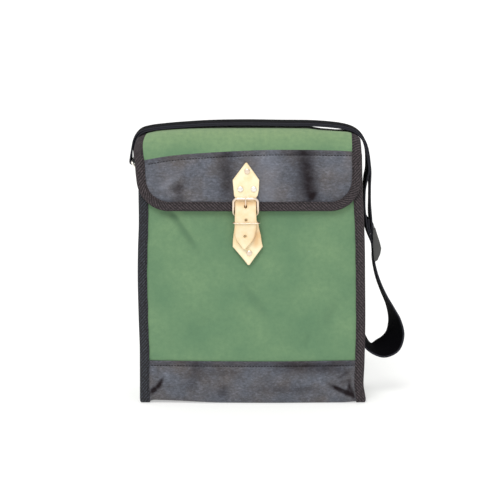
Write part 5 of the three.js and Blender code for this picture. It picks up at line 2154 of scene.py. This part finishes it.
    def slide(self) -> None:
        """Build the three-bar slide: two rails and the bars that join them."""
        clear = 0.5 * self.width + self.rail_clearance
        rails = []
        for side in (-1.0, 1.0):
            outline = [(point.x, side * clear, point.z) for point in self.slide_profile]
            bm = prism(outline, (0.0, side * self.slide_rail, 0.0))
            sharp = [edge for edge in bm.edges if edge.calc_face_angle() > 0.9]
            bmesh.ops.bevel(
                bm, geom=sharp, offset=self.rail_bevel * MM, affect="EDGES",
                segments=2, profile=0.5, material=-1,
            )
            rails.append(as_piece(bm, "slide_rail"))
        for bar in self.slide_bars:
            bm = bmesh.new()
            radius, depth = 0.5 * self.slide_bar * MM, (2.0 * clear + self.slide_rail) * MM
            middle = Matrix.Translation(Vector((bar.x, 0.0, bar.z)) * MM)
            bmesh.ops.create_cone(
                bm, cap_ends=True, segments=20, radius1=radius, radius2=radius, depth=depth,
                matrix=middle @ Matrix.Rotation(0.5 * math.pi, 4, "X"),
            )
            rails.append(as_piece(bm, "slide_bar"))
        piece = rails[0]
        carve(piece, rails[1:], Carve.UNION)
        piece.name = "strap_slide_plastic"
        piece.data.shade_smooth()
        piece.data.set_sharp_from_angle(angle=math.radians(35.0))
        dress(piece, self.plastic, Slot.PLASTIC, "strap_slide")


@dataclass
class Studio:
    """Camera, floor and light."""

    target: Spot = (-3.6, -45.0, 189.0)
    distance: float = 2200.0
    elevation: float = 10.0
    view_width: float = 596.3
    sensor: float = 36.0
    floor_size: float = 60000.0
    floor_tint: str = "#c9c9c7"
    glow: float = 0.44
    sky: Pair = (0.84, 0.88)
    sun: float = 1.45
    sun_elevation: float = 52.0
    sun_azimuth: float = -16.0
    sun_softness: float = 26.0

    def build(self) -> None:
        """Set the camera, lay the floor and light the scene."""
        scene = bpy.context.scene
        scene.view_settings.view_transform = "Standard"
        rise = math.radians(self.elevation)
        back = Vector((0.0, -math.cos(rise), math.sin(rise)))
        lens = bpy.data.cameras.new("camera")
        lens.sensor_width = self.sensor
        lens.lens = self.sensor * self.distance / self.view_width
        lens.clip_end = 200.0
        camera = bpy.data.objects.new("camera", lens)
        camera.location = (Vector(self.target) + back * self.distance) * MM
        camera.rotation_euler = (-back).to_track_quat("-Z", "Y").to_euler()
        scene.collection.objects.link(camera)
        scene.camera = camera
        self.floor()
        self.light()

    def floor(self) -> None:
        """Lay a wide pale floor."""
        bm = bmesh.new()
        bmesh.ops.create_grid(bm, x_segments=2, y_segments=2, size=0.5 * self.floor_size * MM)
        floor = as_piece(bm, "floor")
        tint = linear(self.floor_tint)
        paper = Finish("pale paper", Base_Color=tint, Roughness=0.8, Emission_Strength=self.glow)
        floor.data.materials.append(paper.material)

    def light(self) -> None:
        """Light the bag evenly from all round, with a broad soft light from above on the left."""
        world = bpy.data.worlds.new("studio")
        world.use_nodes = True
        tree = world.node_tree
        way = tree.nodes.new("ShaderNodeTexCoord")
        parts = tree.nodes.new("ShaderNodeSeparateXYZ")
        rising = tree.nodes.new("ShaderNodeMapRange")
        tree.links.new(way.outputs["Generated"], parts.inputs[0])
        tree.links.new(parts.outputs["Z"], rising.inputs[0])
        rising.inputs[3].default_value, rising.inputs[4].default_value = self.sky
        tree.links.new(rising.outputs[0], tree.nodes["Background"].inputs["Strength"])
        tree.nodes["Background"].inputs["Color"].default_value = linear("#ffffff")
        bpy.context.scene.world = world
        lamp = bpy.data.lights.new("softbox", "SUN")
        lamp.energy = self.sun
        lamp.angle = math.radians(self.sun_softness)
        rise, turn = math.radians(self.sun_elevation), math.radians(self.sun_azimuth)
        towards = Vector((math.sin(turn) * math.cos(rise), -math.cos(turn) * math.cos(rise), math.sin(rise)))
        holder = bpy.data.objects.new("softbox", lamp)
        holder.rotation_euler = towards.to_track_quat("Z", "Y").to_euler()
        bpy.context.scene.collection.objects.link(holder)


def main() -> None:
    """Load the frame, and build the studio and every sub-assembly."""
    logging.basicConfig(level=logging.INFO, format="%(name)s %(message)s")
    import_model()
    shape = BagShape()
    Studio().build()
    canvas, vinyl = DuckCanvas().material(), Leathercloth().material()
    tape, shaded = TwillTape().material(), TwillTape("shaded twill tape", "#40454d").material()
    thread = SewingThread().material()
    nickel, webbing = NickelPlate().material(), StrapWebbing().material()
    ClothShell(shape, canvas, vinyl, thread).build()
    Bindings(shape, tape, shaded, thread).build()
    # Nickel tinted leather colour: a painted reflection of the leather on the buckle.
    painted_light = NickelPlate("worn nickel", "#ead8c4").material()
    Closure(shape, NaturalLeather().material(), nickel, painted_light).build()
    ShoulderStrap(shape, webbing, nickel, MouldedPlastic().material()).build()


if __name__ == "__main__":
    main()
